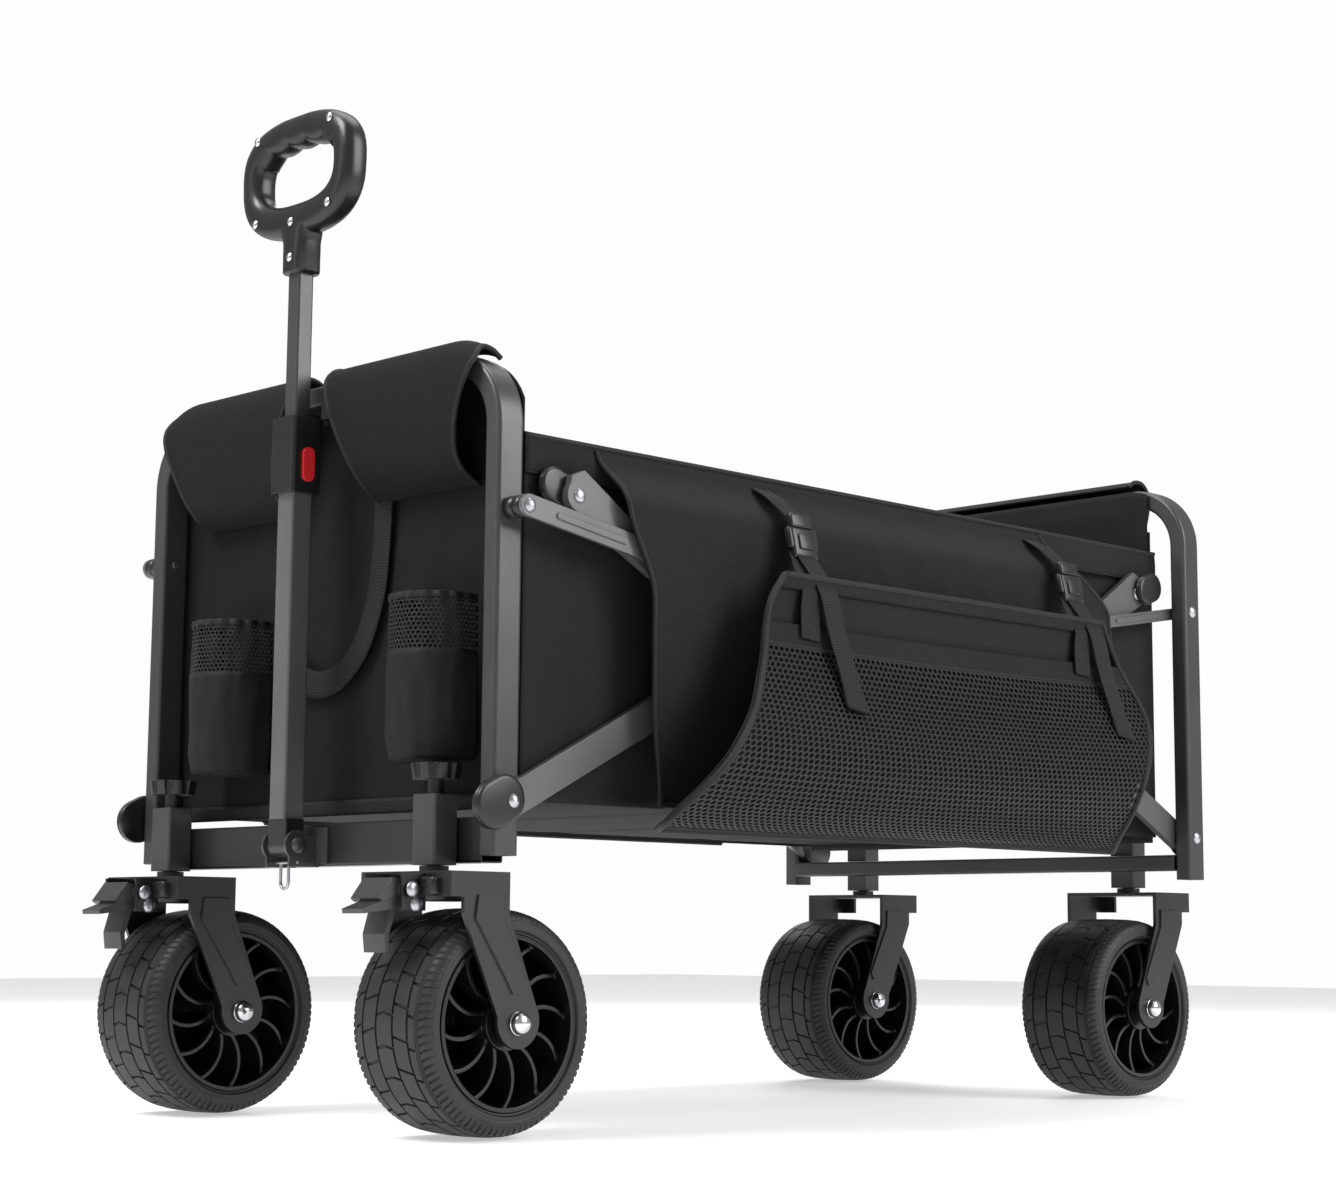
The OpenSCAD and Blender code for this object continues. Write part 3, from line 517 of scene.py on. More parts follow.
front_body, rear_body = "wagon_front", "wagon_rear"
front_x = (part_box("front_frame")[0][0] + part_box("front_frame")[1][0])/2
rear_x = (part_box("rear_frame")[0][0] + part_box("rear_frame")[1][0])/2
wall_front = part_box("front_wall")[1][0]
wall_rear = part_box("rear_wall")[0][0]
side_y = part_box("side_wall_right")[0][1]
tube_top = up(0.696)
BEND = 0.070                       # radius of the bent tube
FRONT_HALF, REAR_HALF = 0.269, 0.309   # half of each frame's width
NET_LOW = up(0.4255)               # where the bottle pocket turns from cloth to net

# %% [markdown]
# ## The cloth box
# The box is two end walls on the frames and two side walls between them. Real oxford never hangs flat: it
# sags between its seams in long shallow folds. Each wall is a fine grid pushed in by slow noise, and held
# still along its seams.

# %% Walls of the box
hem_z, rim_z = up(0.292), up(0.616)


def hold(u, v, edge=0.06):
    """Zero at a seam, one inside the cloth."""
    return min(1.0, u/edge, (1 - u)/edge, v/edge, (1 - v)/edge)


def under_bend(y, half):
    """Height of the top edge, dropping round the tube's bend."""
    past = max(0.0, abs(y) - (half - BEND))
    return tube_top - 0.003 - 0.070 + math.sqrt(max(0.0, BEND**2 - min(past, 0.0695)**2))


def end_wall(x_face, toward, seed, half):
    def shape(u, v):
        y = (u - 0.5)*2*0.2625
        top = under_bend(y, half)
        z = top + v*(hem_z - top)
        deep = wrinkle(y*1.6, z*0.5, 0.16, seed)*0.5 + wrinkle(y*2.2 + z*0.8, z*0.6, 0.07, seed + 5)*0.28
        return (x_face + toward*(0.0065*(0.45 + deep))*hold(u, v), y, z)
    return shape


def side_wall(s, seed):
    def shape(u, v):
        x = wall_front - 0.0030 + u*(wall_rear - wall_front + 0.006)
        z = rim_z + v*(hem_z - rim_z)
        deep = wrinkle(x*1.1 + z*0.7, z*0.6, 0.12, seed)*0.6 + wrinkle(x*2 - z*0.6, z*0.7, 0.05, seed + 3)*0.22
        return (x, s*(side_y + 0.0022 - (0.0085*(0.45 + deep))*hold(u, v)), z)
    return shape


front_panel = end_wall(wall_front - 0.0013, 1, 1.0, FRONT_HALF)
rear_panel = end_wall(wall_rear + 0.0013, -1, 7.0, REAR_HALF)
for name, shape, body in (("front_wall_cloth", front_panel, front_body),
                          ("rear_wall_cloth", rear_panel, rear_body)):
    # The front wall takes the darker oxford, with painted shade.
    piece = sheet_piece(name, shape, 96, 72, painted_shade_oxford if body == front_body else oxford, body)
    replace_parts(piece, name.replace("_cloth", ""))
    sheet_size(shape)
    "front_sleeves" if "front" in name else "rear_sleeve"
folding = []
for s, side in ((-1, "left"), (1, "right")):
    shape = side_wall(s, 11.0 + s)
    piece = sheet_piece(f"side_wall_cloth_{side}", shape, 150, 56, oxford, front_body)
    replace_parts(piece, f"side_wall_{side}")
    sheet_size(shape)
    folding.append(piece)

# %% [markdown]
# Bound edges: a folded tape is sewn over every raw edge. It reads as a thin raised cord, and it is what the
# eye follows on black cloth. The box has one round its lower hem and one up each corner.

# %% Hems and corner bindings
for body, x, out in ((front_body, wall_front - 0.0045, -1), (rear_body, wall_rear + 0.0045, 1)):
    end = "front" if out < 0 else "rear"
    band = sheet_piece(f"{end}_hem_band", lambda u, v, x=x: (x, (u - 0.5)*0.520, up(0.3005) - v*0.0145),
                       60, 4, binding, body, thick=0.0026)
    for s in (-1, 1):
        path = [Vector((x + 0.002*out, s*0.2605, up(0.30) + k/30*0.345)) for k in range(31)]
        bound(f"{end}_corner_binding_{'left' if s < 0 else 'right'}", path, 0.0022, body)

hem_bands = []
for s, side in ((-1, "left"), (1, "right")):
    def rim_band(u, v, s=s):
        x = wall_front - 0.005 + u*(wall_rear - wall_front + 0.010)
        lean = 0.0012*math.sin(v*math.pi)
        return (x, s*(side_y + 0.0052 + lean), rim_z + 0.002 - v*0.033)
    band = sheet_piece(f"rim_band_{side}", rim_band, 120, 8, oxford, front_body, thick=0.0024)
    sheet_size(rim_band)
    cord = bound(f"rim_binding_{side}", edge_of(rim_band, "top", 80), 0.0028, front_body)
    low = bound(f"rim_seam_{side}", edge_of(rim_band, "bottom", 80), 0.0014, front_body, sides=6)
    hem_bands += [band, cord, low]
folding += hem_bands

# %% [markdown]
# ## Sleeves over the end tubes
# Two flaps at the front and one wide one at the rear wrap the top tube, drop down its outer face, and
# curl back to the wall below. Their ends are cut in an S, so the sheet's left and right edges are curves.

# %% Sleeves
sleeve_section = [(0.0172, 0.7010), (0.0060, 0.7075), (-0.0070, 0.7085), (-0.0180, 0.7020), (-0.0250, 0.6890),
                  (-0.0275, 0.6700), (-0.0265, 0.6480), (-0.0225, 0.6260), (-0.0150, 0.6060), (-0.0020, 0.5900),
                  (0.0165, 0.5795)]
sleeve_line = smooth_path([(p[0], p[1], 0) for p in sleeve_section], 64)


def ease(t):
    t = max(0.0, min(1.0, t))
    return t*t*(3 - 2*t)


def sleeve(x_mid, toward, inner, outer, seed, half):
    """inner and outer are the distances from the middle: (at the top, at the lower edge)."""
    def shape(u, v):
        k = v*64
        i = min(int(k), 63)
        p = sleeve_line[i].lerp(sleeve_line[i + 1], k - i)
        s_curve = ease((v - 0.30)/0.60)
        a = inner[0] + (inner[1] - inner[0])*s_curve
        b = outer[0] + (outer[1] - outer[0])*s_curve + math.copysign(0.008, outer[0])*ease((v - 0.15)/0.2)*(1 - s_curve)
        y = a + (b - a)*u
        soft = wrinkle(y*1.4, v*0.10, 0.06, seed)*0.0022*ease((v - 0.25)/0.3)*(1 - ease((v - 0.8)/0.2))
        dip = (under_bend(y, half) - under_bend(0, half))*(1 - ease((v - 0.45)/0.3))
        return (x_mid + toward*(p.x - abs(soft)*0.6), y, up(p.y) + dip)
    return shape


sleeve_pieces = []
for s, side in ((-1, "left"), (1, "right")):
    shape = sleeve(front_x, 1, (s*0.026, s*0.066), (s*0.232, s*0.207), 21 + s, FRONT_HALF)
    # The front sleeves take the darker oxford, with painted shade.
    piece = sheet_piece(f"front_sleeve_{side}", shape, 90, 64, painted_shade_oxford, front_body)
    sheet_size(shape)
    for end in ("left", "right"):
        bound(f"front_sleeve_{side}_{end}_binding", edge_of(shape, end, 70), 0.0026, front_body)
    sleeve_pieces.append(piece)
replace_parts(sleeve_pieces[0], "front_sleeves")
shape = sleeve(rear_x, -1, (-0.236, -0.212), (0.236, 0.212), 27, REAR_HALF)
piece = sheet_piece("rear_sleeve_cloth", shape, 150, 64, oxford, rear_body)
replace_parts(piece, "rear_sleeve")
sheet_size(shape)
for end in ("left", "right"):
    bound(f"rear_sleeve_{end}_binding", edge_of(shape, end, 70), 0.0026, rear_body)

# %% [markdown]
# A wide webbing loop hangs across the middle of the front wall, behind the handle. It is one flat strip
# that turns its edge down as it goes round the bottom of the U.

# %% Front loop
loop_line = smooth_path([(-0.0705, 0.590, 0), (-0.0700, 0.545, 0), (-0.0640, 0.492, 0), (-0.0440, 0.446, 0),
                         (-0.0130, 0.4190, 0), (0.0220, 0.4120, 0), (0.0540, 0.4250, 0), (0.0730, 0.4600, 0),
                         (0.0790, 0.5150, 0), (0.0800, 0.590, 0)], 120)


def front_loop(u, v):
    k = min(int(v*120), 119)
    p = loop_line[k].lerp(loop_line[k + 1], v*120 - k)
    ahead = (loop_line[k + 1] - loop_line[k]).normalized()
    across = (u - 0.5)*0.026
    puff = 0.0022*math.sin(math.pi*v) + 0.0012*math.sin(math.pi*u)
    return (wall_front - 0.0052 - puff, p.x - ahead.y*across, up(p.y + ahead.x*across))


loop_piece = sheet_piece("front_loop", front_loop, 6, 150, webbing, front_body, thick=0.0018)
sheet_size(front_loop, 60)

# %% [markdown]
# ## Perforated mesh
# The bottle pockets and the side sling are hole-punched mesh. Painted holes would vanish in side light, so
# every cell is a real ring: a hexagon with a smaller hexagon cut out, laid over the curved sheet.

# %% Mesh cloth


def mesh_cloth(name, shape, size, pitch, open_part, body, thick=0.0011):
    width, length = size
    bm = bmesh.new()
    flat = bm.verts.layers.float_vector.new("cloth")
    corners = {}
    high = pitch/math.sqrt(3)

    def corner(x, y):
        x, y = min(max(x, 0.0), width), min(max(y, 0.0), length)
        key = (round(x*40000), round(y*40000))
        if key not in corners:
            vert = bm.verts.new(shape(x/width, y/length))
            vert[flat] = (x, y, 0)
            corners[key] = vert
        return corners[key]

    rows = int(length/(1.5*high)) + 1
    columns = int(width/pitch) + 2
    for r in range(rows + 1):
        for c in range(-1, columns):
            cx = (c + 0.5*(r % 2) + 0.5)*pitch
            cy = r*1.5*high
            outer, inner = [], []
            for k in range(6):
                a = math.pi/6 + k*math.pi/3
                x, y = cx + high*math.cos(a), cy + high*math.sin(a)
                outer.append(corner(x, y))
                hx, hy = cx + high*open_part*math.cos(a), cy + high*open_part*math.sin(a)
                inside = 0 < hx < width and 0 < hy < length
                vert = None
                if inside:
                    vert = bm.verts.new(shape(hx/width, hy/length))
                    vert[flat] = (hx, hy, 0)
                inner.append(vert)
            if all(inner):
                for k in range(6):
                    n = (k + 1) % 6
                    if outer[k] is not outer[n]:
                        bm.faces.new((outer[k], outer[n], inner[n], inner[k]))
            else:
                for vert in inner:
                    if vert:
                        bm.verts.remove(vert)
                ring = [v for k, v in enumerate(outer) if v is not outer[k - 1]]
                if len(set(ring)) > 2 and len(set(ring)) == len(ring):
                    bm.faces.new(ring)
    return thicken(finished(name, bm, mesh_yarn, None), thick, body)


# %% [markdown]
# ## Bottle pockets
# Each pocket is a U of cloth sewn to the front wall: solid below, mesh above, and a gathered elastic band
# round the mouth that pulls it in a little.

# %% Bottle pockets
pocket_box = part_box("bottle_pockets")
pocket_back = wall_front - 0.0036
pocket_depth, pocket_half = pocket_back - pocket_box[0][0] - 0.0015, 0.0415
pocket_high, pocket_low = up(0.478), up(0.331)
straight = pocket_depth - pocket_half
whole = 2*straight + math.pi*pocket_half


def pocket_outline(u, pull):
    """A point on the U in plan, u from one seam to the other."""
    d = u*whole
    r = pocket_half*pull
    if d < straight:
        return (-d*pull, -r)
    if d > whole - straight:
        return (-(whole - d)*pull, r)
    a = (d - straight)/pocket_half
    return (-(straight + pocket_half*math.sin(a))*pull, -r*math.cos(a))


def pocket_wall(centre, z_high, z_low):
    def shape(u, v):
        z = z_high + (z_low - z_high)*v
        t = (z - pocket_low)/(pocket_high - pocket_low)
        pull = 0.965 + 0.035*math.sin(math.pi*min(1, t*0.9 + 0.05)) - 0.05*ease((0.16 - t)/0.16)
        x, y = pocket_outline(u, pull)
        gather = 0.0012*math.sin(u*2*math.pi*11)*ease((t - 0.86)/0.14)
        soft = wrinkle(u*0.5, z, 0.035, centre*9)*0.0016*(1 - ease((t - 0.8)/0.2))
        return (pocket_back + x*(1 - (gather + soft)/0.05), centre + y*(1 - (gather + soft)/0.05), z)
    return shape


for s, side, centre in ((-1, "left", -0.166), (1, "right", 0.143)):
    solid_wall = pocket_wall(centre, NET_LOW, pocket_low)
    lower = sheet_piece(f"pocket_{side}", solid_wall, 72, 30, oxford, front_body, thick=0.0020)
    sheet_size(solid_wall)
    if s < 0:
        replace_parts(lower, "bottle_pockets")

    def pocket_floor(u, v, centre=centre):
        x, y = pocket_outline(u, 0.915 - 0.02*v)
        k = 1 - v*0.985
        return (pocket_back + x*k - 0.0004, centre + y*k, pocket_low - 0.0022*math.sin(v*math.pi*0.5))
    base = sheet_piece(f"pocket_floor_{side}", pocket_floor, 48, 12, oxford, front_body, thick=0.0018)
    net_wall = pocket_wall(centre, pocket_high, NET_LOW)
    net = mesh_cloth(f"pocket_net_{side}", net_wall, (whole, pocket_high - NET_LOW), 0.0046, 0.72, front_body)
    pocket_high - NET_LOW
    mouth = [Vector(net_wall(k/90, 0.015)) for k in range(91)]
    bound(f"pocket_mouth_{side}", mouth, 0.0034, front_body, squash_to=0.55)
    seam = [Vector(net_wall(k/90, 1.0)) for k in range(91)]
    bound(f"pocket_seam_{side}", seam, 0.0022, front_body, squash_to=0.6)

# %% [markdown]
# ## Side covers
# A loose cover hangs from the rim over the folding braces on each side. Its front and rear edges are cut in
# a lazy S and bound. The left one carries the sling.

# %% Side covers
cover_y = -(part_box("side_cover_right")[1][1] - 0.0012)


def along_curve(table, z):
    """Reads x off a list of (z, x), highest first, smoothly."""
    for (z0, x0), (z1, x1) in zip(table, table[1:]):
        if z >= z1:
            return x0 + (x1 - x0)*ease((z0 - z)/(z0 - z1)) if z < z0 else x0
    return table[-1][1]


front_cut = [(0.618, -0.402), (0.575, -0.388), (0.479, -0.3540), (0.388, -0.3535), (0.292, -0.345)]
rear_cut = [(0.618, 0.262), (0.590, 0.283), (0.527, 0.350), (0.450, 0.363), (0.292, 0.358)]


def cover(s):
    def shape(u, v):
        z = 0.614 + (0.293 - 0.614)*v
        a, b = along_curve(front_cut, z), along_curve(rear_cut, z)
        x = a + (b - a)*u
        out = 0.2705 + (abs(cover_y) - 0.2705)*ease((0.612 - z)/0.05)
        soft = wrinkle(x*1.3 + z*0.5, z*0.6, 0.11, 31 + s)*0.0045 + wrinkle(x*2.4, z, 0.045, 35)*0.0016
        keep = ease((0.612 - z)/0.05)*min(1, u/0.03, (1 - u)/0.03)
        return (x, s*(out - abs(soft)*keep), up(z))
    return shape


for s, side in ((-1, "left"), (1, "right")):
    shape = cover(s)
    piece = sheet_piece(f"cover_{side}", shape, 150, 64, oxford, front_body)
    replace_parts(piece, f"side_cover_{side}")
    sheet_size(shape)
    folding.append(piece)
    for end in ("left", "right", "bottom"):
        folding.append(bound(f"cover_{side}_{end}_binding", edge_of(shape, end, 90), 0.0027, front_body))

# %% [markdown]
# ## The sling
# A mesh hammock for a rolled mat: a solid band on top, mesh round the belly, and a hem sewn under the cover.
# The rows below give its height, how far out it stands, and where its two bound edges are.

# %% Sling
sling_rows = [  # height, outward, front edge, rear edge
    (0.512, -0.3450, -0.228, 0.275), (0.486, -0.3460, -0.248, 0.288), (0.458, -0.3485, -0.257, 0.305),
    (0.432, -0.3570, -0.268, 0.318), (0.405, -0.3720, -0.289, 0.316), (0.380, -0.3890, -0.313, 0.296),
    (0.355, -0.4010, -0.339, 0.274), (0.330, -0.4020, -0.360, 0.260), (0.306, -0.3880, -0.376, 0.262),
    (0.288, -0.3620, -0.379, 0.280), (0.276, -0.3340, -0.371, 0.308), (0.271, -0.3060, -0.354, 0.343)]
sling_y_z = smooth_path([(r[1], r[0], 0) for r in sling_rows], 220)
sling_edges = smooth_path([(r[2], r[3], 0) for r in sling_rows], 220)


def sling(v0, v1, inward=0.0):
    """Part of the sling from v0 to v1 of its drop, or a lining that far inside it."""
    def shape(u, v):
        k = (v0 + (v1 - v0)*v)*220
        i = min(int(k), 219)
        p = sling_y_z[i].lerp(sling_y_z[i + 1], k - i)
        e = sling_edges[i].lerp(sling_edges[i + 1], k - i)
        x = e.x + (e.y - e.x)*u
        mid = math.sin(math.pi*u)
        slack = 0.0050*mid*math.sin(math.pi*k/220)
        inside = inward*math.sin(math.pi*min(1.0, k/220))**0.5
        return (x, p.x + inside + slack + wrinkle(x, p.y, 0.09, 44)*0.0018*mid, up(p.y) + inside*0.3 - slack*0.9)
    return shape


lining_shape, band_shape = sling(0, 1, 0.007), sling(0.155, 0.225)
belly_shape, hem_shape = sling(0.225, 0.945), sling(0.945, 1)
lining = sheet_piece("sling_lining", lining_shape, 110, 60, oxford, front_body, thick=0.0016)
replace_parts(lining, "sling_pocket")
sheet_size(lining_shape)
top_band_shape = sling(0, 0.045)
top_band = sheet_piece("sling_top_band", top_band_shape, 110, 4, oxford, front_body, thick=0.0030)
sheet_size(top_band_shape)
band = sheet_piece("sling_band", band_shape, 110, 8, oxford, front_body, thick=0.0028)
sheet_size(band_shape)
belly_size = sheet_size(belly_shape)
belly = mesh_cloth("sling_mesh", belly_shape, belly_size, 0.0078, 0.70, front_body, thick=0.0013)
hem = sheet_piece("sling_hem", hem_shape, 110, 4, oxford, front_body)
sheet_size(hem_shape)
whole_sling = sling(0, 1)
for end in ("left", "right", "top", "bottom"):
    folding.append(bound(f"sling_{end}_binding", edge_of(whole_sling, end, 120), 0.0034, front_body))
folding.append(bound("sling_mesh_seam", edge_of(belly_shape, "top", 100), 0.0020, front_body))
folding += [lining, top_band, band, belly, hem]

# %% [markdown]
# ## Straps and buckles
# Webbing is stiff and flat, so each strap is a ribbon swept along a path, with its width along X. The
# side-release buckle has a body, two spring prongs that show in its side windows, and a bar at each end.

# %% Straps


def ribbon(name, path, width, thick, material, body):
    bm = bmesh.new()
    flat = bm.verts.layers.float_vector.new("cloth")
    rings, run = [], 0.0
    for k, p in enumerate(path):
        ahead = (path[min(k + 1, len(path) - 1)] - path[max(k - 1, 0)]).normalized()
        across = (Vector((1, 0, 0)) - ahead*ahead.x).normalized()
        out = across.cross(ahead).normalized()
        run += (p - path[k - 1]).length if k else 0
        ring = []
        for a, b in ((-0.5, -0.3), (-0.46, -0.5), (0, -0.5), (0.46, -0.5), (0.5, -0.3), (0.5, 0.3),
                     (0.46, 0.5), (0, 0.5), (-0.46, 0.5), (-0.5, 0.3)):
            vert = bm.verts.new(p + across*a*width + out*b*thick)
            vert[flat] = (a*width, run, 0)
            ring.append(vert)
        rings.append(ring)
    skin(bm, rings)
    return finished(name, bm, material, body)


def rounded_block(name, size, where, radius, material, body, tilt=0.0, segments=3):
    bm = bmesh.new()
    bmesh.ops.create_cube(bm, size=1.0)
    for vert in bm.verts:
        vert.co = Vector((vert.co.x*size[0], vert.co.y*size[1], vert.co.z*size[2]))
    bmesh.ops.bevel(bm, geom=bm.edges[:], offset=radius, segments=segments, profile=0.5, affect="EDGES")
    bmesh.ops.transform(bm, matrix=Matrix.Translation(where) @ Matrix.Rotation(tilt, 4, "X"), verts=bm.verts)
    return finished(name, bm, material, body)


for name, x in (("front", -0.1735), ("rear", 0.2560)):
    hang = smooth_path([(x - 0.012, -0.2735, up(0.606)), (x - 0.010, -0.290, up(0.596)),
                        (x - 0.003, -0.3020, up(0.583)), (x, -0.3130, up(0.572))], 24)
    upper = ribbon(f"strap_{name}_upper", hang, 0.0255, 0.0018, webbing, front_body)
    drop = smooth_path([(x - 0.006, -0.3200, up(0.536)), (x - 0.013, -0.3330, up(0.518)),
                        (x - 0.020, -0.3470, up(0.500)), (x - 0.024, -0.3490, up(0.480)),
                        (x - 0.027, -0.3525, up(0.452))], 40)
    lower = ribbon(f"strap_{name}", drop, 0.0255, 0.0018, webbing, front_body)
    tail = smooth_path([(x - 0.001, -0.3235, up(0.537)), (x, -0.3500, up(0.500)), (x + 0.006, -0.3570, up(0.460)),
                        (x + 0.010, -0.3680, up(0.420)), (x + 0.003, -0.3850, up(0.3850))], 50)
    free = ribbon(f"strap_{name}_tail", tail, 0.0255, 0.0018, webbing, front_body)
    end = ribbon(f"strap_{name}_tail_fold", tail[43:], 0.0262, 0.0044, webbing, front_body)
    for piece, path in ((upper, hang), (lower, drop), (free, tail)):
        long = sum((b - a).length for a, b in zip(path, path[1:]))
    tilt = math.radians(-12)
    parts = [upper, lower, free, end,
             rounded_block(f"buckle_{name}_body", (0.034, 0.0095, 0.030), (x, -0.3175, up(0.5495)), 0.0025,
                           black_plastic, front_body, tilt),
             rounded_block(f"buckle_{name}_tongue", (0.030, 0.0080, 0.014), (x, -0.3135, up(0.5715)), 0.0022,
                           black_plastic, front_body, tilt),
             rounded_block(f"buckle_{name}_rib", (0.020, 0.0030, 0.016), (x, -0.3225, up(0.5510)), 0.0012,
                           black_plastic, front_body, tilt)]
    for s in (-1, 1):
        parts.append(rounded_block(f"buckle_{name}_prong_{'a' if s < 0 else 'b'}", (0.0065, 0.0075, 0.022),
                                   (x + s*0.0168, -0.3165, up(0.5540)), 0.0022, black_plastic, front_body, tilt))
        parts.append(rounded_block(f"buckle_{name}_end_{'a' if s < 0 else 'b'}", (0.0045, 0.0088, 0.012),
                                   (x + s*0.0145, -0.3190, up(0.5395)), 0.0014, black_plastic, front_body, tilt))
    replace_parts(upper, f"strap_buckle_{name}")
    folding += parts

# %% [markdown]
# ## Floor mat
# Four stiff foam panels sewn into one cover. The top swells a little in each panel and pulls down at the
# seams, where the mat folds.

# %% Floor mat
mat_low, mat_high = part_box("floor_mat")


def mat_piece():
    bm = bmesh.new()
    flat = bm.verts.layers.float_vector.new("cloth")
    nx, ny, panels = 168, 56, 4
    def swell(u, v):
        p = (u*panels) % 1.0
        edge = min(1, min(u, 1 - u)*nx/7, min(v, 1 - v)*ny/5)
        seam = min(1, min(p, 1 - p)*13)
        return (0.35 + 0.65*seam**0.5)*max(0.0, edge)**0.5
    layers = []
    for top in (1, -1):
        rows = []
        for j in range(ny + 1):
            row = []
            for i in range(nx + 1):
                u, v = i/nx, j/ny
                x = mat_low[0] + 0.0006 + u*(mat_high[0] - mat_low[0] - 0.0012)
                y = mat_low[1] + 0.0006 + v*(mat_high[1] - mat_low[1] - 0.0012)
                half = 0.0066*swell(u, v) + 0.0002
                soft = wrinkle(x*1.5, y, 0.08, 50)*0.0006*swell(u, v)
                rest = (mat_low[2] + mat_high[2])/2
                vert = bm.verts.new((x, y, rest + top*half - (abs(soft) if top > 0 else 0)))
                vert[flat] = (x, y, 0)
                row.append(vert)
            rows.append(row)
        layers.append(rows)
        for j in range(ny):
            for i in range(nx):
                bm.faces.new((rows[j][i], rows[j][i + 1], rows[j + 1][i + 1], rows[j + 1][i]))
    bmesh.ops.remove_doubles(bm, verts=bm.verts, dist=0.0005)
    return finished("mat", bm, mat_cloth, front_body)


mat = mat_piece()
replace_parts(mat, "floor_mat")
folding.append(mat)
edge = [Vector((x, y, (mat_low[2] + mat_high[2])/2)) for x, y in
        [(mat_low[0] + 0.003, mat_low[1] + 0.003), (mat_high[0] - 0.003, mat_low[1] + 0.003),
         (mat_high[0] - 0.003, mat_high[1] - 0.003), (mat_low[0] + 0.003, mat_high[1] - 0.003),
         (mat_low[0] + 0.003, mat_low[1] + 0.006)]]
loop = [a.lerp(b, k/40) for a, b in zip(edge, edge[1:]) for k in range(41)]
folding.append(bound("mat_binding", loop, 0.0026, front_body))

# %% [markdown]
# ## Tyres
# The tread is a grid with its own rules: every rib has its own start angle, and every block is flat on top
# with a sharp cut behind it. Putting grid lines exactly on the cuts keeps the walls steep without a
# heavy mesh.

# %% Tyres


def tyre_section():
    """(distance from the middle plane, radius, 0 smooth or 1 tread, rib number), from one bead to the other."""
    half = [(0.0, 0.0996, 1, 0), (0.0098, 0.0995, 1, 0), (0.0102, 0.0972, 0, 0), (0.0118, 0.0972, 0, 0),
            (0.0122, 0.0993, 1, 1), (0.0200, 0.0992, 1, 1), (0.0288, 0.0989, 1, 1), (0.0292, 0.0968, 0, 1),
            (0.0308, 0.0966, 0, 1),
            (0.0312, 0.0986, 1, 2), (0.0380, 0.0980, 1, 2), (0.0432, 0.0968, 1, 2), (0.0478, 0.0946, 1, 2),
            (0.0503, 0.0918, 1, 2), (0.0512, 0.0893, 0.4, 2), (0.0516, 0.0880, 0, 2), (0.0522, 0.0872, 0, 2),
            (0.0524, 0.0850, 0, 2),
            (0.0519, 0.0838, 0, 2), (0.0522, 0.0826, 0, 2), (0.0517, 0.0806, 0, 2), (0.0503, 0.0793, 0, 2),
            (0.0488, 0.0790, 0, 2), (0.0484, 0.0776, 0, 2), (0.0470, 0.0773, 0, 2)]
    left = [(-y, r, t, -k) for y, r, t, k in reversed(half[1:])]
    return left + half


def tyre_mesh(blocks=22):
    cut = 0.0019
    section = tyre_section()
    bm = bmesh.new()
    steps = [(0.00, 1, 1), (0.02, 1, 1), (0.160, 1, 1), (0.205, 1, 0), (0.235, 1, 0), (0.275, 1, 1), (0.410, 1, 1),
             (0.455, 1, 0), (0.485, 1, 0), (0.525, 1, 1), (0.660, 1, 1), (0.705, 1, 0), (0.735, 1, 0), (0.775, 1, 1),
             (0.905, 1, 1), (0.925, 0, 1), (0.955, 0, 0), (0.985, 0, 0)]
    rows = []
    for y, r, tread, rib in section:
        phase = {0: 0.0, 1: 0.38, -1: 0.62, 2: 0.12, -2: 0.80}[rib] + (y*14 if abs(y) > 0.042 else abs(y)*9)
        row = []
        for b in range(blocks):
            for t, rib_high, shoulder_high in steps:
                a = 2*math.pi*(b + t + phase)/blocks
                shoulder = abs(y) > 0.042
                high = shoulder_high if shoulder else rib_high
                rr = r - (0 if high else cut*tread*(0.8 if shoulder else 1))
                row.append(bm.verts.new((rr*math.cos(a), y, rr*math.sin(a))))
        rows.append(row)
    skin(bm, rows, closed=False)
    bmesh.ops.recalc_face_normals(bm, faces=bm.faces)
    mesh = bpy.data.meshes.new("tyre")
    bm.to_mesh(mesh)
    bm.free()
    for face in mesh.polygons:
        face.use_smooth = True
    mesh.set_sharp_from_angle(angle=math.radians(32))
    mesh.materials.append(tyre_rubber)
    return mesh


axles = {}
tyre_shape = tyre_mesh()
for end in ("front", "rear"):
    for side in ("left", "right"):
        low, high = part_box(f"tyre_{end}_{side}")
        hub = (low + high)/2
        axles[end, side] = hub
        tyre = bpy.data.objects.new(f"treaded_tyre_{end}_{side}", tyre_shape.copy())
        bpy.context.scene.collection.objects.link(tyre)
        tyre.data.transform(Matrix.Translation(hub) @ Matrix.Rotation(0.37*len(axles), 4, "Y"))
        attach(tyre, f"wheel_{end}_{side}")
        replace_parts(tyre, f"tyre_{end}_{side}")

# %% [markdown]
# ## Grip
# A ring to pull on, moulded around the tube: broad and rounded like a loop of dough, with four finger
# hollows on the inside of its top bar. The ring is swept as a rounded section between an outer and an inner
# outline, so its thickness can change all the way round.

# %% Grip
grip_low, grip_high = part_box("handle_grip")
grip_mid = (grip_low + grip_high)/2
ring_z = grip_high[2] - 0.060


def superellipse(a, wide, high, power):
    c, s = math.cos(a), math.sin(a)
    return (wide*abs(c)**(2/power)*math.copysign(1, c), high*abs(s)**(2/power)*math.copysign(1, s))


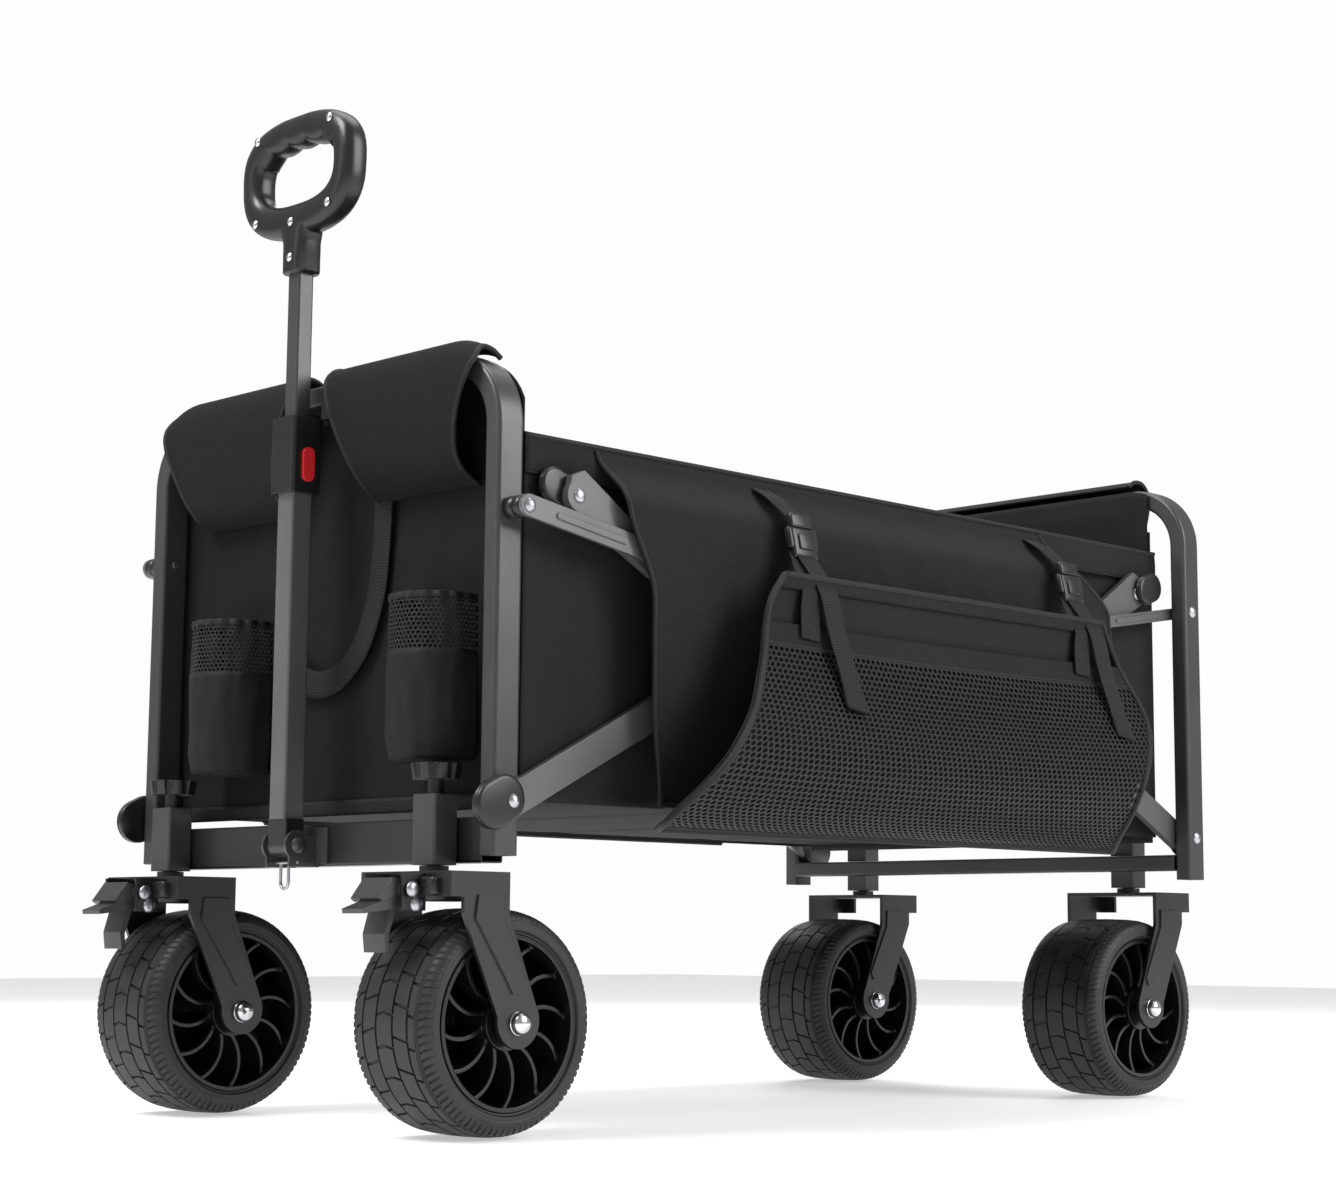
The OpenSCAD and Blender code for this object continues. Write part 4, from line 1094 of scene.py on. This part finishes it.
def grip_ring():
    bm = bmesh.new()
    turns, sides = 220, 28
    rings = []
    for k in range(turns):
        a = 2*math.pi*k/turns
        oy, oz = superellipse(a, 0.0858, 0.0598, 2.75)
        iy, iz = superellipse(a, 0.0585, 0.0295, 2.7)
        oy *= 1 + 0.03*oz/0.06
        iz += 0.0015
        if iz > 0.012 and abs(iy) < 0.053:
            iz -= 0.0040*abs(math.cos(math.pi*iy/0.0262))**0.8 - 0.001
        middle = Vector(((oy + iy)/2, (oz + iz)/2, 0))
        reach = Vector(((oy - iy)/2, (oz - iz)/2, 0))
        ring = []
        for s in range(sides):
            t = 2*math.pi*s/sides
            ex, er = superellipse(t, 0.0149, 1.0, 2.6)
            p = middle + reach*er
            ring.append(bm.verts.new((grip_mid[0] + ex, p.x, ring_z + p.y)))
        rings.append(ring)
    skin(bm, rings + rings[:1], closed=False)
    return finished("grip_ring", bm, black_plastic, "handle_slider")


def grip_neck():
    """A rounded stalk that widens into the ring."""
    bm = bmesh.new()
    rings = []
    stations = [(0.0003, 0.0150, 0.0143), (0.002, 0.0165, 0.0148), (0.030, 0.0170, 0.0148), (0.042, 0.0205, 0.0147),
                (0.049, 0.0300, 0.0143), (0.054, 0.0440, 0.0138), (0.058, 0.0520, 0.0120)]
    for above, wide, deep in stations:
        z = grip_low[2] + above
        ring = []
        for s in range(32):
            y, x = superellipse(2*math.pi*s/32, wide, deep, 3.4)
            ring.append(bm.verts.new((grip_mid[0] + x, y, z)))
        rings.append(ring)
    skin(bm, rings)
    return finished("grip_neck", bm, black_plastic, "handle_slider")


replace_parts(grip_ring(), "handle_grip")
grip_neck()

# %% [markdown]
# ## Small turned and pressed parts
# Dome nuts close the axles and black caps cover the brace ends. The raised panel that stiffens each fork arm is left as
# the CAD made it.

# %% Turned parts


def turned(name, profile, where, axis_sign, material, body, sides=40):
    """A profile of (radius, height) spun about Y and pointing outward along axis_sign."""
    bm = bmesh.new()
    rings = []
    for r, h in profile:
        rings.append([bm.verts.new((where[0] + r*math.cos(2*math.pi*k/sides), where[1] + axis_sign*h,
                                    where[2] + r*math.sin(2*math.pi*k/sides))) for k in range(sides)])
    skin(bm, rings)
    return finished(name, bm, material, body)


dome = [(0.0106, 0.0), (0.0106, 0.0010), (0.0100, 0.0014), (0.0093, 0.0016), (0.0093, 0.0048), (0.0089, 0.0064),
        (0.0074, 0.0080), (0.0048, 0.0092), (0.0022, 0.0098), (0.0004, 0.0100)]
for (end, side), hub in axles.items():
    for s in (-1, 1):
        turned(f"dome_nut_{end}_{side}_{'a' if s < 0 else 'b'}", dome, (hub[0], hub[1] + s*0.0617, hub[2]), s, chrome,
               f"caster_{end}_{side}")

# %% [markdown]
# ## Caps, spacers and bolts
# Where a brace ends, a moulded cap keeps its raw steel edge off fingers and cloth. Each cap is a rounded
# slab: its outline runs round two points, and three smaller copies of it crown the face. Domed rivets and
# black spacers close the joints beside them.

# %% Caps, spacers and bolts
dome_head = [(0.0068, -0.0006), (0.0068, 0.0004), (0.0062, 0.0014), (0.0048, 0.0023), (0.0026, 0.0029),
             (0.0004, 0.0031)]


def cap_slab(name, a, b, radius, y_in, depth, s, material, body, seam=0.55):
    """A rounded slab round the points a and b, given as (x, z), from y_in outward on side s."""
    bm = bmesh.new()
    a, b = Vector(a), Vector(b)
    along = (b - a).normalized() if (b - a).length > 1e-6 else Vector((1, 0))
    normal = Vector((-along.y, along.x))

    def outline(inset):
        points = []
        for centre, start in ((b, -math.pi/2), (a, math.pi/2)):
            for k in range(17):
                t = start + math.pi*k/16
                points.append(centre + (along*math.cos(t) + normal*math.sin(t))*(radius - inset))
        return points
    levels = [(0.0012, 0.0), (0.0, 0.0010), (0.0, depth*seam - 0.0005), (0.0007, depth*seam - 0.0002),
              (0.0007, depth*seam + 0.0002), (0.0, depth*seam + 0.0005), (0.0, depth - 0.0026),
              (0.0006, depth - 0.0012), (0.0020, depth - 0.0003), (0.0038, depth)]
    rings = [[bm.verts.new((q.x, s*(y_in + h), q.y)) for q in outline(inset)] for inset, h in levels]
    skin(bm, rings)
    return finished(name, bm, material, body)


link_z, lower_z, upper_z, upper_in = up(0.549), up(0.291), up(0.566), 0.065
for s, side in ((-1, "left"), (1, "right")):
    for end, x_up, way, rising, falling in (("front", front_x, 1, "front_rising_brace", "front_falling_brace"),
                                            ("rear", rear_x, -1, "rear_falling_brace", "rear_rising_brace")):
        layer = 0.2700 if end == "front" else 0.2790
        top_x = x_up + way*upper_in
        cap_slab(f"{end}_lower_cap_{side}", (x_up - way*0.0195, lower_z - 0.004), (x_up - way*0.0080, lower_z + 0.0015),
                 0.0215, layer, 0.0096, s, black_plastic, f"{rising}_{side}_body")
        cap_slab(f"{end}_upper_cap_{side}", (top_x - way*0.0200, upper_z + 0.0090),
                 (top_x - way*0.0100, upper_z + 0.0050), 0.0165, 0.2712 if end == "front" else 0.2802,
                 0.0080, s, black_plastic, f"{falling}_{side}_body")
        face = 0.2878 if end == "front" else 0.2784
        turned(f"{end}_upper_rivet_{side}", dome_head, (top_x, s*face, upper_z), s, zinc,
               f"{falling}_{side}_body", sides=28)
    spacer = [(0.0094, 0.0), (0.0104, 0.0006), (0.0104, 0.0096), (0.0098, 0.0100), (0.0098, 0.0106), (0.0104, 0.0110),
              (0.0104, 0.0196), (0.0094, 0.0202)]
    turned(f"link_spacer_{side}", spacer, (front_x, s*0.2694, link_z), s, black_plastic, "wagon_front")
    pedal_x, pedal_z, fork_y = -0.5765, up(0.214), s*0.203
    stem_x = pedal_x + 0.049
    bm = bmesh.new()
    housing = [(0.010, 0.2252), (0.0300, 0.2252), (0.0318, 0.2240), (0.0318, 0.2150), (0.0300, 0.2130),
               (0.0270, 0.2120), (0.0270, 0.2060), (0.0255, 0.2045), (0.010, 0.2045)]
    rings = [[bm.verts.new((stem_x + r*math.cos(math.pi*k/24), fork_y + r*math.sin(math.pi*k/24), up(z)))
              for k in range(48)] for r, z in housing]
    skin(bm, rings)
    # The swivel housing takes the darker enamel, with painted shade.
    finished(f"swivel_housing_{side}", bm, fork_enamel, f"caster_front_{side}")
    for t in (-1, 1):
        rounded_block(f"crown_block_{side}_{'a' if t < 0 else 'b'}", (0.022, 0.020, 0.0165),
                      (pedal_x + 0.020, fork_y + t*0.0372, up(0.2172)), 0.0035, black_plastic,
                      f"caster_front_{side}")
    for t in (-1, 1):
        tag = "a" if t < 0 else "b"
        turned(f"pedal_bolt_{side}_{tag}", dome_head, (pedal_x, fork_y + t*0.0312, pedal_z), t, zinc,
               f"caster_front_{side}", sides=28)
        turned(f"catch_bolt_{side}_{tag}", dome_head, (pedal_x + 0.008, fork_y + t*0.0268, pedal_z - 0.0125), t, zinc,
               f"caster_front_{side}", sides=28)

# %% Give the listed pieces their own meshes
for piece in folding:
    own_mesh(piece)
